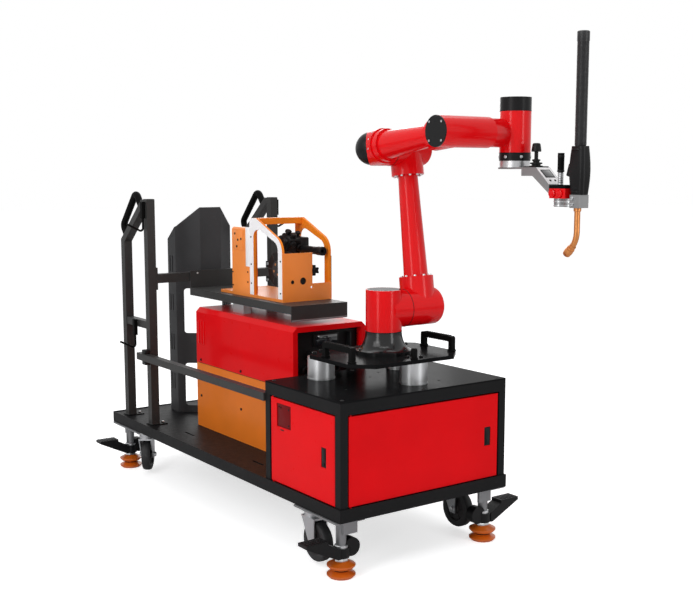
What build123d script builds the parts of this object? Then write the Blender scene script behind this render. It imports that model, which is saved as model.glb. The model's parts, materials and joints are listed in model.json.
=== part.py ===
# A wheeled welding station: a six-axis robot arm on a cabinet, with its cart, power source and wire feeder.
# Millimetres, +Z up, +X towards the cabinet's front. The origin is on the floor below the middle of the whole station.
from build123d import *
import math
import os

# Deck tray
DECK_LENGTH = 1600.0
DECK_WIDTH = 650.0
RIM_HEIGHT = 40.0
RIM_WALL = 3.0
DECK_LIP = 3.0
DECK_SHEET = 5.0
DECK_BORDER = 60.0
STRAP_SLOT = (70.0, 9.0)
STRAP_SLOT_SHARE = 0.725
STRAP_SLOT_EDGE = 80.0
STRAP_SLOT_SHIFT = 23.5

# Cabinet
CABINET_INSET = 5.0
CABINET_DEPTH = 409.0
CABINET_HEIGHT = 314.0
CABINET_POST = 26.0
CABINET_RAIL = 36.0
TOP_PLATE = 5.0
PANEL_SHEET = 3.0
PANEL_RECESS = 2.0
DOOR_GAP = 5.0
DOOR_HINGE_INSET = 8.0
DOOR_PIN_R = 3.0
PIN_GAP = 0.3
LATCH_SLOT = (26.0, 60.0)
SIDE_LATCH_EDGE = 44.0
FRONT_LATCH_EDGE = 29.0
DOOR_RECESS = (80.0, 73.0)
DOOR_RECESS_EDGE = 33.0
DOOR_RECESS_TOP = 14.0

# Power source
SOURCE_FRONT_GAP = 106.0
SOURCE_REAR_GAP = 183.0
SOURCE_WIDTH = 296.0
SOURCE_HEIGHT = 455.0
SOURCE_SPLIT = 246.0
SOURCE_BEVEL = 16.0
SOURCE_FACE_RIM = 18.0
SOURCE_FACE_DEPTH = 40.0
SOURCE_FACE_SHEET = 12.0
SOURCE_KNOB_R = 17.0
SOURCE_KNOB_LENGTH = 16.0

# Rear push frames and rails
POST_TUBE = 32.0
LEFT_POST_EDGE = 40.0
RIGHT_POST_EDGE = 70.0
POST_END = 297.0
POST_SPACING = 212.0
FRAME_TOP = 858.0
FRAME_BEND = 700.0
FRAME_SLOPE_DEPTH = 20.0
FRAME_BAR_HEIGHT = 382.0
FRAME_BAR_TUBE = 28.0
GRIP_R = 13.0
GRIP_STAND = (46.0, 68.0)
GRIP_BEND = 20.0
GRIP_INSET = (28.0, 42.0)
HOOK_R = 4.0
HOOK_BEND = 10.0
HOOK_BLOCK = (16.0, 14.0, 62.0)
HOOK_DROP = 52.0
HOOK_REACH = 62.0
CROSS_RAIL_TUBE = 34.0
CROSS_RAIL_HEIGHT = 560.0
RAIL_PLATE = 6.0
RAIL_PLATE_HEIGHT = 84.0
SIDE_RAIL_TUBE = 26.0
SIDE_RAIL_HEIGHT = 262.0
SIDE_RAIL_OVERHANG = 52.0

# Gas cylinder bracket
BRACKET_END = 214.0
BRACKET_Y = 16.0
BRACKET_CENTRE = 90.0
BRACKET_WING_X = 62.0
BRACKET_WING_Y = 77.0
BRACKET_FLANGE = 66.0
BRACKET_SHEET = 5.0
BRACKET_TOP = 822.0
BRACKET_WING_TOP = 745.0
BRACKET_FLANGE_TOP = 691.0
BRACKET_WINDOWS = ((25.0, 198.0), (320.0, 500.0))
BRACKET_WINDOW_EDGE = 22.0
BRACKET_SLOT_ROWS = (120.0, 281.0, 441.0, 596.0)
BRACKET_SLOT = (8.0, 66.0)

# Feeder tray
TRAY_Y = -15.0
TRAY_WIDTH = 228.0
TRAY_SETBACK = 39.0
TRAY_HEIGHT = 518.0
TRAY_SKIRT = 28.0
TRAY_FRONT_SKIRT = 53.0
TRAY_SHEET = 3.0
TRAY_BACK_HEIGHT = 66.0
SPACER = (77.0, 30.0)
SPACER_INSET = 40.0
SPACER_SETBACK = 365.0

# Wire feeder
FEEDER_Y = 3.0
FEEDER_WIDTH = 202.0
FEEDER_SETBACK_SHARE = 0.1458
FEEDER_BASE_SHARE = 0.5915
FEEDER_FRAME_SHARE = 0.5023
FEEDER_HEIGHT = 281.0
FEEDER_NOSE = 205.0
FEEDER_SHEET = 10.0
FEEDER_BAR = 26.0
ARCH_CROWN = 46.0
ARCH_CROWN_DEPTH = 40.0
ARCH_NOSE_DROP = 8.0
ARCH_ROUND = 14.0
ARCH_INNER_ROUND = 28.0
ARCH_NOSE_ROUND = 60.0
ARCH_INNER_NOSE_ROUND = 36.0
FEEDER_BASE_SHEET = 10.0
FEEDER_PLATE = 4.0
FEEDER_PLATE_TOP = 167.0
FEEDER_PLATE_LOW = 60.0
FEEDER_PLATE_SPLIT = 0.6
FEEDER_TOP_BAR = (46.0, 22.0)
FEEDER_PORTS = ((40.0, 68.0, 7.0), (83.0, 70.0, 12.5), (118.0, 47.0, 4.0))
BOX_SHARE = 0.293
BOX_WIDTH = 32.0
BOX_BASE = 12.0
BOX_TOP = 246.0
DRIVE_SIZE = (76.0, 92.0, 90.0)
DRIVE_BASE = 144.0
DRIVE_BACK = 18.0
OUTLET_R = 13.0
OUTLET_LENGTH = 124.0
OUTLET_SIDE = 24.0
OUTLET_RISE = 25.0
SPOOL_SHARE = 0.28
SPOOL_WIDTH = 46.0
SPOOL_Y = -38.0
SPOOL_FLANGE = 7.0
SPOOL_HUB_R = 32.0
SPOOL_AXLE_R = 12.0
SPOOL_SHIFT_SHARE = 0.06
SPOOL_HEIGHT = 95.0
SPOOL_BRACKET = 10.0
RUN_GAP = 0.3

# Arm base plate on the cabinet
ARM_SETBACK = 218.5
STANDOFF_R = 43.0
STANDOFF_HEIGHT = 70.0
STANDOFF_REAR = (120.0, 156.0)
STANDOFF_FRONT = 112.0
STANDOFF_FRONT_SIDE = 31.0
BASE_PLATE = 12.0
BASE_PLATE_X = 326.0
BASE_PLATE_Y = 424.0
BASE_PLATE_CORNER = 62.0
PLATE_HANDLE_LENGTH = 154.0
PLATE_HANDLE_HEIGHT = 48.0
PLATE_HANDLE_SHIFT = 32.0
PLATE_HANDLE_TUBE = 16.0
PLATE_HANDLE_EDGE = 17.0

# Arm foot and shoulder
FOOT_R = 88.0
FOOT_FLANGE = 12.0
FOOT_HEIGHT = 70.0
COLUMN_R = 57.0
COLUMN_HEIGHT = 131.0
COLUMN_CAP = 3.0
CAP_INSET = 3.0
SHOULDER_R = 60.0
SHOULDER_RISE = 67.0
SHOULDER_REACH = 73.0
SHOULDER_TEE = 132.0
TEE_ROUND = 14.0
JOINT_GAP = 0.4

# Upper arm
UPPER_LENGTH = 505.0
UPPER_LEAN = -8.0
UPPER_R_LOW = 39.0
UPPER_R_HIGH = 31.5
LOW_COLLAR_R = 55.0
LOW_COLLAR_END = 97.0
HIGH_COLLAR_R = 52.0
HIGH_COLLAR_END = 85.0
ELBOW_R = 54.0
ELBOW_TEE = 139.0

# Elbow and forearm
ELBOW_REACH = 68.0
ELBOW_NOSE = 62.0
ELBOW_CAP_PLANE = 8.0
ELBOW_CAP_R = 52.0
FOREARM_LENGTH = 377.0
FOREARM_TILT = 6.2
FOREARM_COLLAR_R = 50.0
FOREARM_COLLAR = 24.0
FOREARM_R_ROOT = 44.0
FOREARM_R_TIP = 30.0
WRIST_COLLAR_R = 46.0
WRIST_COLLAR = 26.0
WRIST_R = 45.0
WRIST_BACK = 58.0
WRIST_TEE = 196.0
DISC_SHEET = 4.0

# Wrist column
WRIST_NECK_R = 42.0
WRIST_NECK_HALF_WIDTH = 28.0
WRIST_NECK_SHIFT = 14.0
WRIST_OFFSET = 114.0
TIP_COLUMN_R = 46.7
TIP_COLUMN_UP = 65.0
TIP_COLUMN_DOWN = 58.0
TIP_CAP = 40.0
TIP_RING = 23.0
FLANGE_R = 45.0
FLANGE_THICK = 19.0

# Welding tool
TOOL_PLATE = 5.0
TOOL_PLATE_BACK = 40.0
BAR_WIDTH = 58.0
BAR_THICK = 25.0
BAR_START = 58.0
BAR_KNEE = 115.0
BAR_SLOPE_X = 55.0
BAR_SLOPE_Z = 50.0
STICK_X = 89.0
STICK_BASE_R = 20.0
STICK_BASE = 16.0
STICK_NECK_R = 8.0
STICK_NECK = 24.0
STICK_KNOB_R = 14.0
STICK_KNOB = 30.0
LEVER_X = 187.0
LEVER_STEM_R = 7.0
LEVER_STEM = 36.0
LEVER_GRIP_R = 9.5
LEVER_GRIP = 54.0
LEVER_PLATE = 10.0
CLAMP_LENGTH = 77.0
CLAMP_WIDTH = 54.0
CLAMP_THICK = 28.0
TORCH_X = 259.0
TORCH_BLOCK = (36.0, 38.0, 37.0)
TORCH_BLOCK_DROP = 27.0
SENSOR_R = 19.0
SENSOR_SPACING = 39.0
SENSOR_HEIGHT = 24.0
HANDLE_SIZE = (56.0, 42.0)
HANDLE_LENGTH = 135.0
HANDLE_ROUND = 14.0
TRIGGER = (16.0, 14.0, 40.0)
TUBE_R = 17.5
TUBE_LENGTH = 313.0
NECK_R = 8.5
NECK_SHIFT = 5.0
NECK_STRAIGHT = 66.0
NECK_BEND = 45.0
NECK_BEND_R = 70.0
NOZZLE_R = 12.0
NOZZLE_LENGTH = 25.0

# Levelling casters
CASTER_END = 59.0
CASTER_EDGE = 45.0
CASTER_PLATE = (230.0, 100.0, 6.0)
GUARD = (9.0, 50.0, 42.0)
GUARD_OUT = 18.0
GUARD_SHIFT = 15.0
PAD_R = 43.0
PAD_THICK = 22.0
PAD_PITCH = 28.0
PAD_EDGE = 7.0
PAD_WAIST_R = 22.0
LEG_R = 16.0
PEDAL_REACH = 136.0
PEDAL_WIDTH = 46.0
PEDAL_HEIGHT = 124.0
PEDAL_LOW = 60.0
PEDAL_TREAD = 10.0
PEDAL_COLLAR_R = 25.0
PEDAL_COLLAR = 30.0
LOBE_R = 28.0
LOBE_OUT = 30.0
LOBE_WIDTH = 30.0
SWIVEL_OFFSET = 150.0
WHEEL_TRAIL = 30.0
WHEEL_R = 62.5
WHEEL_WIDTH = 32.0
WHEEL_LIFT = 12.0
WHEEL_BORE_R = 6.0
WHEEL_ROUND = 6.0
FORK_GAP = 5.0
FORK_SHEET = 4.0
FORK_LEG = 26.0
FORK_CROWN = 6.0
SWIVEL_R = 26.0
SWIVEL_HEIGHT = 28.0
REAR_LEFT_TURN = -36.0

# Places that follow from the sizes
WHEEL_Z = WHEEL_R + WHEEL_LIFT
CROWN_BOTTOM = WHEEL_Z + WHEEL_R + FORK_GAP
CASTER_PLATE_BOTTOM = CROWN_BOTTOM + FORK_CROWN + SWIVEL_HEIGHT
DECK_BOTTOM = CASTER_PLATE_BOTTOM + CASTER_PLATE[2]
DECK_HEIGHT = DECK_BOTTOM + RIM_HEIGHT
CASTER_X = DECK_LENGTH / 2 - CASTER_END
CASTER_Y = DECK_WIDTH / 2 - CASTER_EDGE
DECK_TOP = DECK_HEIGHT - DECK_LIP
CABINET_FRONT = DECK_LENGTH / 2 - CABINET_INSET
CABINET_REAR = CABINET_FRONT - CABINET_DEPTH
CABINET_SIDE = DECK_WIDTH / 2 - CABINET_INSET
CABINET_TOP = DECK_HEIGHT + CABINET_HEIGHT
RAIL_BOTTOM = CABINET_TOP - TOP_PLATE - CABINET_RAIL
ARM_X = CABINET_FRONT - ARM_SETBACK
BRACKET_X = BRACKET_END - DECK_LENGTH / 2
SOURCE_FRONT_X = CABINET_REAR - SOURCE_FRONT_GAP
SOURCE_REAR_X = BRACKET_X + SOURCE_REAR_GAP
STRAP_SLOT_SPACING = STRAP_SLOT_SHARE * (SOURCE_FRONT_X - SOURCE_REAR_X)
STRAP_SLOT_MID = (SOURCE_FRONT_X + SOURCE_REAR_X) / 2 + STRAP_SLOT_SHIFT
STRAP_SLOT_OUT = DECK_WIDTH / 2 - STRAP_SLOT_EDGE
SOURCE_TOP = DECK_TOP + SOURCE_HEIGHT
POST_Y = {-1: LEFT_POST_EDGE - DECK_WIDTH / 2, 1: DECK_WIDTH / 2 - RIGHT_POST_EDGE}
POST_FRONT_X = POST_END - DECK_LENGTH / 2
POST_REAR_X = POST_FRONT_X - POST_SPACING
CROSS_RAIL_FRONT = POST_FRONT_X + CROSS_RAIL_TUBE / 2
TRAY_TOP = DECK_HEIGHT + TRAY_HEIGHT
TRAY_REAR_X = CROSS_RAIL_FRONT
TRAY_FRONT_X = SOURCE_FRONT_X - TRAY_SETBACK
TRAY_LENGTH = TRAY_FRONT_X - TRAY_REAR_X
FEEDER_FRONT_X = TRAY_FRONT_X - FEEDER_SETBACK_SHARE * TRAY_LENGTH
FEEDER_BASE_LENGTH = FEEDER_BASE_SHARE * TRAY_LENGTH
FEEDER_FRAME_LENGTH = FEEDER_FRAME_SHARE * FEEDER_BASE_LENGTH
BOX_LENGTH = BOX_SHARE * FEEDER_BASE_LENGTH
SPOOL_R = SPOOL_SHARE * FEEDER_FRAME_LENGTH
SPOOL_X = SPOOL_SHIFT_SHARE * FEEDER_FRAME_LENGTH
FEEDER_FLOOR = TRAY_TOP + FEEDER_BASE_SHEET
PLATE_BOTTOM = CABINET_TOP + STANDOFF_HEIGHT
PLATE_TOP = PLATE_BOTTOM + BASE_PLATE
COLUMN_BASE = PLATE_TOP + FOOT_HEIGHT + JOINT_GAP
SHOULDER_Z = COLUMN_BASE + SHOULDER_RISE
ELBOW_X = ARM_X + UPPER_LENGTH * math.sin(math.radians(UPPER_LEAN))
ELBOW_Z = SHOULDER_Z + UPPER_LENGTH * math.cos(math.radians(UPPER_LEAN))
FOREARM_Y = SHOULDER_REACH - ELBOW_REACH
WRIST_X = ELBOW_X + FOREARM_LENGTH * math.cos(math.radians(FOREARM_TILT))
WRIST_Z = ELBOW_Z + FOREARM_LENGTH * math.sin(math.radians(FOREARM_TILT))
WRIST_SPLIT_Y = FOREARM_Y - WRIST_BACK + WRIST_TEE
TIP_Y = WRIST_SPLIT_Y + WRIST_OFFSET
TIP_TOP = WRIST_Z + TIP_COLUMN_UP
TIP_BOTTOM = WRIST_Z - TIP_COLUMN_DOWN
FLANGE_TOP = TIP_BOTTOM - TIP_RING - JOINT_GAP
FLANGE_FACE = FLANGE_TOP - FLANGE_THICK
TOE_X = WRIST_X + BAR_KNEE + BAR_SLOPE_X
TOE_TOP = FLANGE_FACE - BAR_SLOPE_Z
CLAMP_TOP = TOE_TOP - LEVER_PLATE
CLAMP_BOTTOM = CLAMP_TOP - CLAMP_THICK
TORCH_AXIS_X = WRIST_X + TORCH_X
BLOCK_TOP = TOE_TOP - TORCH_BLOCK_DROP
BLOCK_BOTTOM = BLOCK_TOP - TORCH_BLOCK[2]
NECK_X = TORCH_AXIS_X - NECK_SHIFT
FRONT_END = TORCH_AXIS_X + HANDLE_SIZE[0] / 2
ORIGIN_X = (FRONT_END - DECK_LENGTH / 2) / 2


def block(x0, x1, y0, y1, z0, z1):
    """A box between two corners."""
    return Pos((x0 + x1) / 2, (y0 + y1) / 2, (z0 + z1) / 2) * Box(abs(x1 - x0), abs(y1 - y0), abs(z1 - z0))


def rod(start, end, radius, end_radius=None):
    """A round bar between two points, tapered where a second radius is given."""
    start, end = Vector(*start), Vector(*end)
    base = (Align.CENTER, Align.CENTER, Align.MIN)
    length = (end - start).length
    if end_radius is None or end_radius == radius:
        shape = Cylinder(radius, length, align=base)
    else:
        shape = Cone(radius, end_radius, length, align=base)
    return Plane(origin=start, z_dir=end - start) * shape


def bent_rod(points, radius, bend):
    """A round bar through points, with rounded corners."""
    path = FilletPolyline(*points, radius=bend)
    start, second = Vector(*points[0]), Vector(*points[1])
    return sweep(Plane(origin=start, z_dir=second - start) * Circle(radius), path=path)


def upright(x, y, z0, z1, radius, end_radius=None):
    return rod((x, y, z0), (x, y, z1), radius, end_radius)


def crossways(x, z, y0, y1, radius):
    return rod((x, y0, z), (x, y1, z), radius)


def side_profile(points, y0, y1):
    """A plate of the outline given in X and Z, between two Y places."""
    face = make_face(Polyline(*[(x, 0, z) for x, z in points], close=True))
    return Pos(0, y0, 0) * extrude(face, amount=y1 - y0, dir=(0, 1, 0))


def turned(profile, x, y):
    """A solid of revolution about the upright line at x, y from points of radius and height."""
    face = make_face(Polyline(*[(r, 0, z) for r, z in profile], close=True))
    return Pos(x, y, 0) * revolve(face, Axis.Z)


def both_sides(shape):
    return [shape, mirror(shape, about=Plane.XZ)]


def deck_tray():
    half_l, half_w = DECK_LENGTH / 2, DECK_WIDTH / 2
    tray = block(-half_l, half_l, -half_w, half_w, DECK_BOTTOM, DECK_HEIGHT)
    inner_l, inner_w = half_l - RIM_WALL, half_w - RIM_WALL
    tray -= block(-inner_l, inner_l, -inner_w, inner_w, DECK_TOP, DECK_HEIGHT)
    hollow_l, hollow_w = half_l - DECK_BORDER, half_w - DECK_BORDER
    tray -= block(-hollow_l, hollow_l, -hollow_w, hollow_w, DECK_BOTTOM, DECK_TOP - DECK_SHEET)
    for y in (-STRAP_SLOT_OUT, STRAP_SLOT_OUT):
        for x in (STRAP_SLOT_MID - STRAP_SLOT_SPACING / 2, STRAP_SLOT_MID + STRAP_SLOT_SPACING / 2):
            tray -= Pos(x, y, DECK_TOP) * Box(STRAP_SLOT[0], STRAP_SLOT[1], 4 * DECK_SHEET)
    return tray


def cabinet_frame():
    inner_x = CABINET_FRONT - CABINET_POST
    rear_x = CABINET_REAR + CABINET_POST
    inner_y = CABINET_SIDE - CABINET_POST
    top = CABINET_TOP - TOP_PLATE
    frame = block(CABINET_REAR, CABINET_FRONT, -CABINET_SIDE, CABINET_SIDE, RAIL_BOTTOM, top)
    frame -= block(rear_x, inner_x, -inner_y, inner_y, RAIL_BOTTOM, top)
    for x0, x1 in ((CABINET_REAR, rear_x), (inner_x, CABINET_FRONT)):
        for y0, y1 in ((-CABINET_SIDE, -inner_y), (inner_y, CABINET_SIDE)):
            frame += block(x0, x1, y0, y1, DECK_TOP, RAIL_BOTTOM)
    return frame


def cabinet_top():
    return block(CABINET_REAR, CABINET_FRONT, -CABINET_SIDE, CABINET_SIDE, CABINET_TOP - TOP_PLATE, CABINET_TOP)


def cabinet_back_panel():
    x = CABINET_REAR + PANEL_RECESS
    half = CABINET_SIDE - CABINET_POST
    return block(x, x + PANEL_SHEET, -half, half, DECK_TOP, RAIL_BOTTOM)


def cabinet_side_panel():
    y = CABINET_SIDE - PANEL_RECESS
    x0, x1 = CABINET_REAR + CABINET_POST, CABINET_FRONT - CABINET_POST
    return block(x0, x1, y - PANEL_SHEET, y, DECK_TOP, RAIL_BOTTOM)


def hinge_pins(x, y, z0, z1):
    """Short pivots at the door's top and bottom edges."""
    low = upright(x, y, DECK_TOP + PIN_GAP, z0, DOOR_PIN_R)
    high = upright(x, y, z1, RAIL_BOTTOM - PIN_GAP, DOOR_PIN_R)
    return low + high


DOOR_Z0 = DECK_TOP + DOOR_GAP
DOOR_Z1 = RAIL_BOTTOM - DOOR_GAP
SIDE_DOOR_X0 = CABINET_REAR + CABINET_POST + DOOR_GAP
SIDE_DOOR_X1 = CABINET_FRONT - CABINET_POST - DOOR_GAP
SIDE_DOOR_Y = -CABINET_SIDE + PANEL_RECESS
SIDE_HINGE_X = SIDE_DOOR_X0 + DOOR_HINGE_INSET
SIDE_HINGE_Y = SIDE_DOOR_Y + DOOR_PIN_R
FRONT_DOOR_HALF = CABINET_SIDE - CABINET_POST - DOOR_GAP
FRONT_DOOR_X = CABINET_FRONT - PANEL_RECESS
FRONT_HINGE_X = FRONT_DOOR_X - DOOR_PIN_R
FRONT_HINGE_Y = -FRONT_DOOR_HALF + DOOR_HINGE_INSET


def latch_heights():
    """The latch pocket's lower and upper edge, at the middle of the doors."""
    middle = (DOOR_Z0 + DOOR_Z1) / 2
    return middle - LATCH_SLOT[1] / 2, middle + LATCH_SLOT[1] / 2


def side_door():
    leaf = block(SIDE_DOOR_X0, SIDE_DOOR_X1, SIDE_DOOR_Y, SIDE_DOOR_Y + 2 * DOOR_PIN_R, DOOR_Z0, DOOR_Z1)
    recess_x = SIDE_DOOR_X0 + DOOR_RECESS_EDGE
    recess_z = DOOR_Z1 - DOOR_RECESS_TOP
    y = SIDE_DOOR_Y
    leaf -= block(recess_x, recess_x + DOOR_RECESS[0], y, y + PANEL_SHEET, recess_z - DOOR_RECESS[1], recess_z)
    latch_x, low, high = SIDE_DOOR_X1 - SIDE_LATCH_EDGE, *latch_heights()
    leaf -= block(latch_x - LATCH_SLOT[0], latch_x, y, y + PANEL_SHEET, low, high)
    return leaf + hinge_pins(SIDE_HINGE_X, SIDE_HINGE_Y, DOOR_Z0, DOOR_Z1)


def front_door():
    x = FRONT_DOOR_X
    leaf = block(x - 2 * DOOR_PIN_R, x, -FRONT_DOOR_HALF, FRONT_DOOR_HALF, DOOR_Z0, DOOR_Z1)
    latch_y, low, high = FRONT_DOOR_HALF - FRONT_LATCH_EDGE, *latch_heights()
    leaf -= block(x - PANEL_SHEET, x, latch_y - LATCH_SLOT[0], latch_y, low, high)
    return leaf + hinge_pins(FRONT_HINGE_X, FRONT_HINGE_Y, DOOR_Z0, DOOR_Z1)


def power_source_base():
    half = SOURCE_WIDTH / 2
    return block(SOURCE_REAR_X, SOURCE_FRONT_X, -half, half, DECK_TOP, DECK_TOP + SOURCE_SPLIT)


def power_source_cover():
    half = SOURCE_WIDTH / 2
    cover = block(SOURCE_REAR_X, SOURCE_FRONT_X, -half, half, DECK_TOP + SOURCE_SPLIT, SOURCE_TOP)
    top_edges = cover.edges().filter_by(Axis.X).group_by(Axis.Z)[-1]
    cover = chamfer(top_edges, SOURCE_BEVEL)
    inner = half - SOURCE_FACE_RIM
    low = DECK_TOP + SOURCE_SPLIT + SOURCE_FACE_RIM
    high = SOURCE_TOP - SOURCE_FACE_RIM
    cover -= block(SOURCE_FRONT_X - SOURCE_FACE_DEPTH, SOURCE_FRONT_X, -inner, inner, low, high)
    return cover


def power_source_face():
    half = SOURCE_WIDTH / 2 - SOURCE_FACE_RIM
    low = DECK_TOP + SOURCE_SPLIT + SOURCE_FACE_RIM
    high = SOURCE_TOP - SOURCE_FACE_RIM
    x = SOURCE_FRONT_X - SOURCE_FACE_DEPTH
    face = block(x, x + SOURCE_FACE_SHEET, -half, half, low, high)
    for y in (-half / 2, 0, half / 2):
        start = x + SOURCE_FACE_SHEET
        middle = (low + high) / 2
        face += rod((start, y, middle), (start + SOURCE_KNOB_LENGTH, y, middle), SOURCE_KNOB_R)
    return face


def tray_spacers():
    """Two blocks on the power source that carry the tray's sheet under the wire feeder."""
    x1 = TRAY_FRONT_X - SPACER_SETBACK
    y = TRAY_WIDTH / 2 - TRAY_SHEET - SPACER_INSET
    return [block(x1 - SPACER[0], x1, side - SPACER[1] / 2, side + SPACER[1] / 2, SOURCE_TOP, TRAY_TOP - TRAY_SHEET)
            for side in (TRAY_Y - y, TRAY_Y + y)]


def feeder_tray():
    """A sheet table with its edges turned down, deeper at the front, and a back plate on the cross rail."""
    y0, y1 = TRAY_Y - TRAY_WIDTH / 2, TRAY_Y + TRAY_WIDTH / 2
    tray = block(TRAY_REAR_X, TRAY_FRONT_X, y0, y1, TRAY_TOP - TRAY_SKIRT, TRAY_TOP)
    tray -= block(TRAY_REAR_X + TRAY_SHEET, TRAY_FRONT_X - TRAY_SHEET, y0 + TRAY_SHEET, y1 - TRAY_SHEET,
                  TRAY_TOP - TRAY_SKIRT, TRAY_TOP - TRAY_SHEET)
    tray += block(TRAY_FRONT_X - TRAY_SHEET, TRAY_FRONT_X, y0, y1, TRAY_TOP - TRAY_FRONT_SKIRT, TRAY_TOP)
    tray += block(TRAY_REAR_X, TRAY_REAR_X + RAIL_PLATE, y0, y1, TRAY_TOP - TRAY_SKIRT, TRAY_TOP + TRAY_BACK_HEIGHT)
    return tray


def cross_rail():
    z = DECK_HEIGHT + CROSS_RAIL_HEIGHT
    half = CROSS_RAIL_TUBE / 2
    ends = [POST_Y[side] - side * POST_TUBE / 2 for side in (-1, 1)]
    rail = block(POST_FRONT_X - half, POST_FRONT_X + half, *ends, z - half, z + half)
    for side, end in zip((-1, 1), ends):
        rail += block(POST_FRONT_X - half, POST_FRONT_X + half, end - side * RAIL_PLATE, end,
                      z - RAIL_PLATE_HEIGHT / 2, z + RAIL_PLATE_HEIGHT / 2)
    return rail


def side_rails():
    z = DECK_HEIGHT + SIDE_RAIL_HEIGHT
    half = SIDE_RAIL_TUBE / 2
    rails = []
    for side in (-1, 1):
        inner = POST_Y[side] + side * POST_TUBE / 2
        rails.append(block(POST_FRONT_X - SIDE_RAIL_OVERHANG, CABINET_REAR,
                           inner, inner + side * SIDE_RAIL_TUBE, z - half, z + half))
    return rails


def push_frame(side):
    """One welded frame: two posts, the upper one-sided slope that carries the grip, and a cross bar."""
    y = POST_Y[side]
    half = POST_TUBE / 2
    top = DECK_HEIGHT + FRAME_TOP
    bend = DECK_HEIGHT + FRAME_BEND
    bar_z = DECK_HEIGHT + FRAME_BAR_HEIGHT
    frame = block(POST_FRONT_X - half, POST_FRONT_X + half, y - half, y + half, DECK_TOP, top)
    run = POST_SPACING - POST_TUBE
    slope = side_profile([
        (POST_REAR_X - half, DECK_TOP), (POST_REAR_X + half, DECK_TOP),
        (POST_REAR_X + half, bend - half / 2), (POST_FRONT_X - half, top - FRAME_SLOPE_DEPTH),
        (POST_FRONT_X - half, top), (POST_FRONT_X - half - run * 0.1, top),
        (POST_REAR_X - half, bend),
    ], y - half, y + half)
    bar_half = FRAME_BAR_TUBE / 2
    frame += slope
    frame += block(POST_REAR_X, POST_FRONT_X, y - bar_half, y + bar_half, bar_z - bar_half, bar_z + bar_half)
    return frame


def slope_points():
    """The two ends of the slope's upper edge, in X and Z."""
    low = Vector(POST_REAR_X - POST_TUBE / 2, 0, DECK_HEIGHT + FRAME_BEND)
    run = POST_SPACING - POST_TUBE
    high = Vector(POST_FRONT_X - POST_TUBE / 2 - run * 0.1, 0, DECK_HEIGHT + FRAME_TOP)
    return low, high


def push_grips():
    low, high = slope_points()
    along = (high - low).normalized()
    out = Vector(-along.Z, 0, along.X)
    foot_a = low + along * GRIP_INSET[0]
    foot_b = high - along * GRIP_INSET[1]
    grip_a, grip_b = foot_a + out * GRIP_STAND[0], foot_b + out * GRIP_STAND[1]
    grips = []
    for y in POST_Y.values():
        corners = [point + Vector(0, y, 0) for point in (foot_a, grip_a, grip_b, foot_b)]
        grips.append(bent_rod(corners, GRIP_R, GRIP_BEND))
    return grips


def cable_hook(x, y, z, side):
    """A moulded block with a bent wire hook that reaches outwards and up."""
    outer = y + side * HOOK_BLOCK[1]
    middle = y + side * HOOK_BLOCK[1] / 2
    hook = block(x - HOOK_BLOCK[0] / 2, x + HOOK_BLOCK[0] / 2, y, outer, z - HOOK_BLOCK[2], z)
    low = z - HOOK_BLOCK[2] - HOOK_DROP
    tip = (x, middle + side * HOOK_REACH, low + HOOK_DROP * 0.6)
    return hook + bent_rod([(x, middle, z - HOOK_BLOCK[2]), (x, middle, low), tip], HOOK_R, HOOK_BEND)


def cable_hooks():
    hooks = []
    for side in (-1, 1):
        face = POST_Y[side] + side * POST_TUBE / 2
        top = DECK_HEIGHT + FRAME_TOP
        hooks.append(cable_hook(POST_FRONT_X - POST_TUBE * 0.2, face, top - POST_TUBE / 4, side))
        bar_face = POST_Y[side] + side * FRAME_BAR_TUBE / 2
        middle = (POST_FRONT_X + POST_REAR_X) / 2
        hooks.append(cable_hook(middle, bar_face, DECK_HEIGHT + FRAME_BAR_HEIGHT + FRAME_BAR_TUBE / 2, side))
    return hooks


def bracket_outline():
    """The bracket's plan from one flange to the other, as a line along the sheet's middle."""
    c = BRACKET_CENTRE / 2
    w = c + BRACKET_WING_Y
    x1 = BRACKET_X - BRACKET_WING_X
    x2 = x1 - BRACKET_FLANGE
    return [(x2, -w), (x1, -w), (BRACKET_X, -c), (BRACKET_X, c), (x1, w), (x2, w)]


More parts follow.
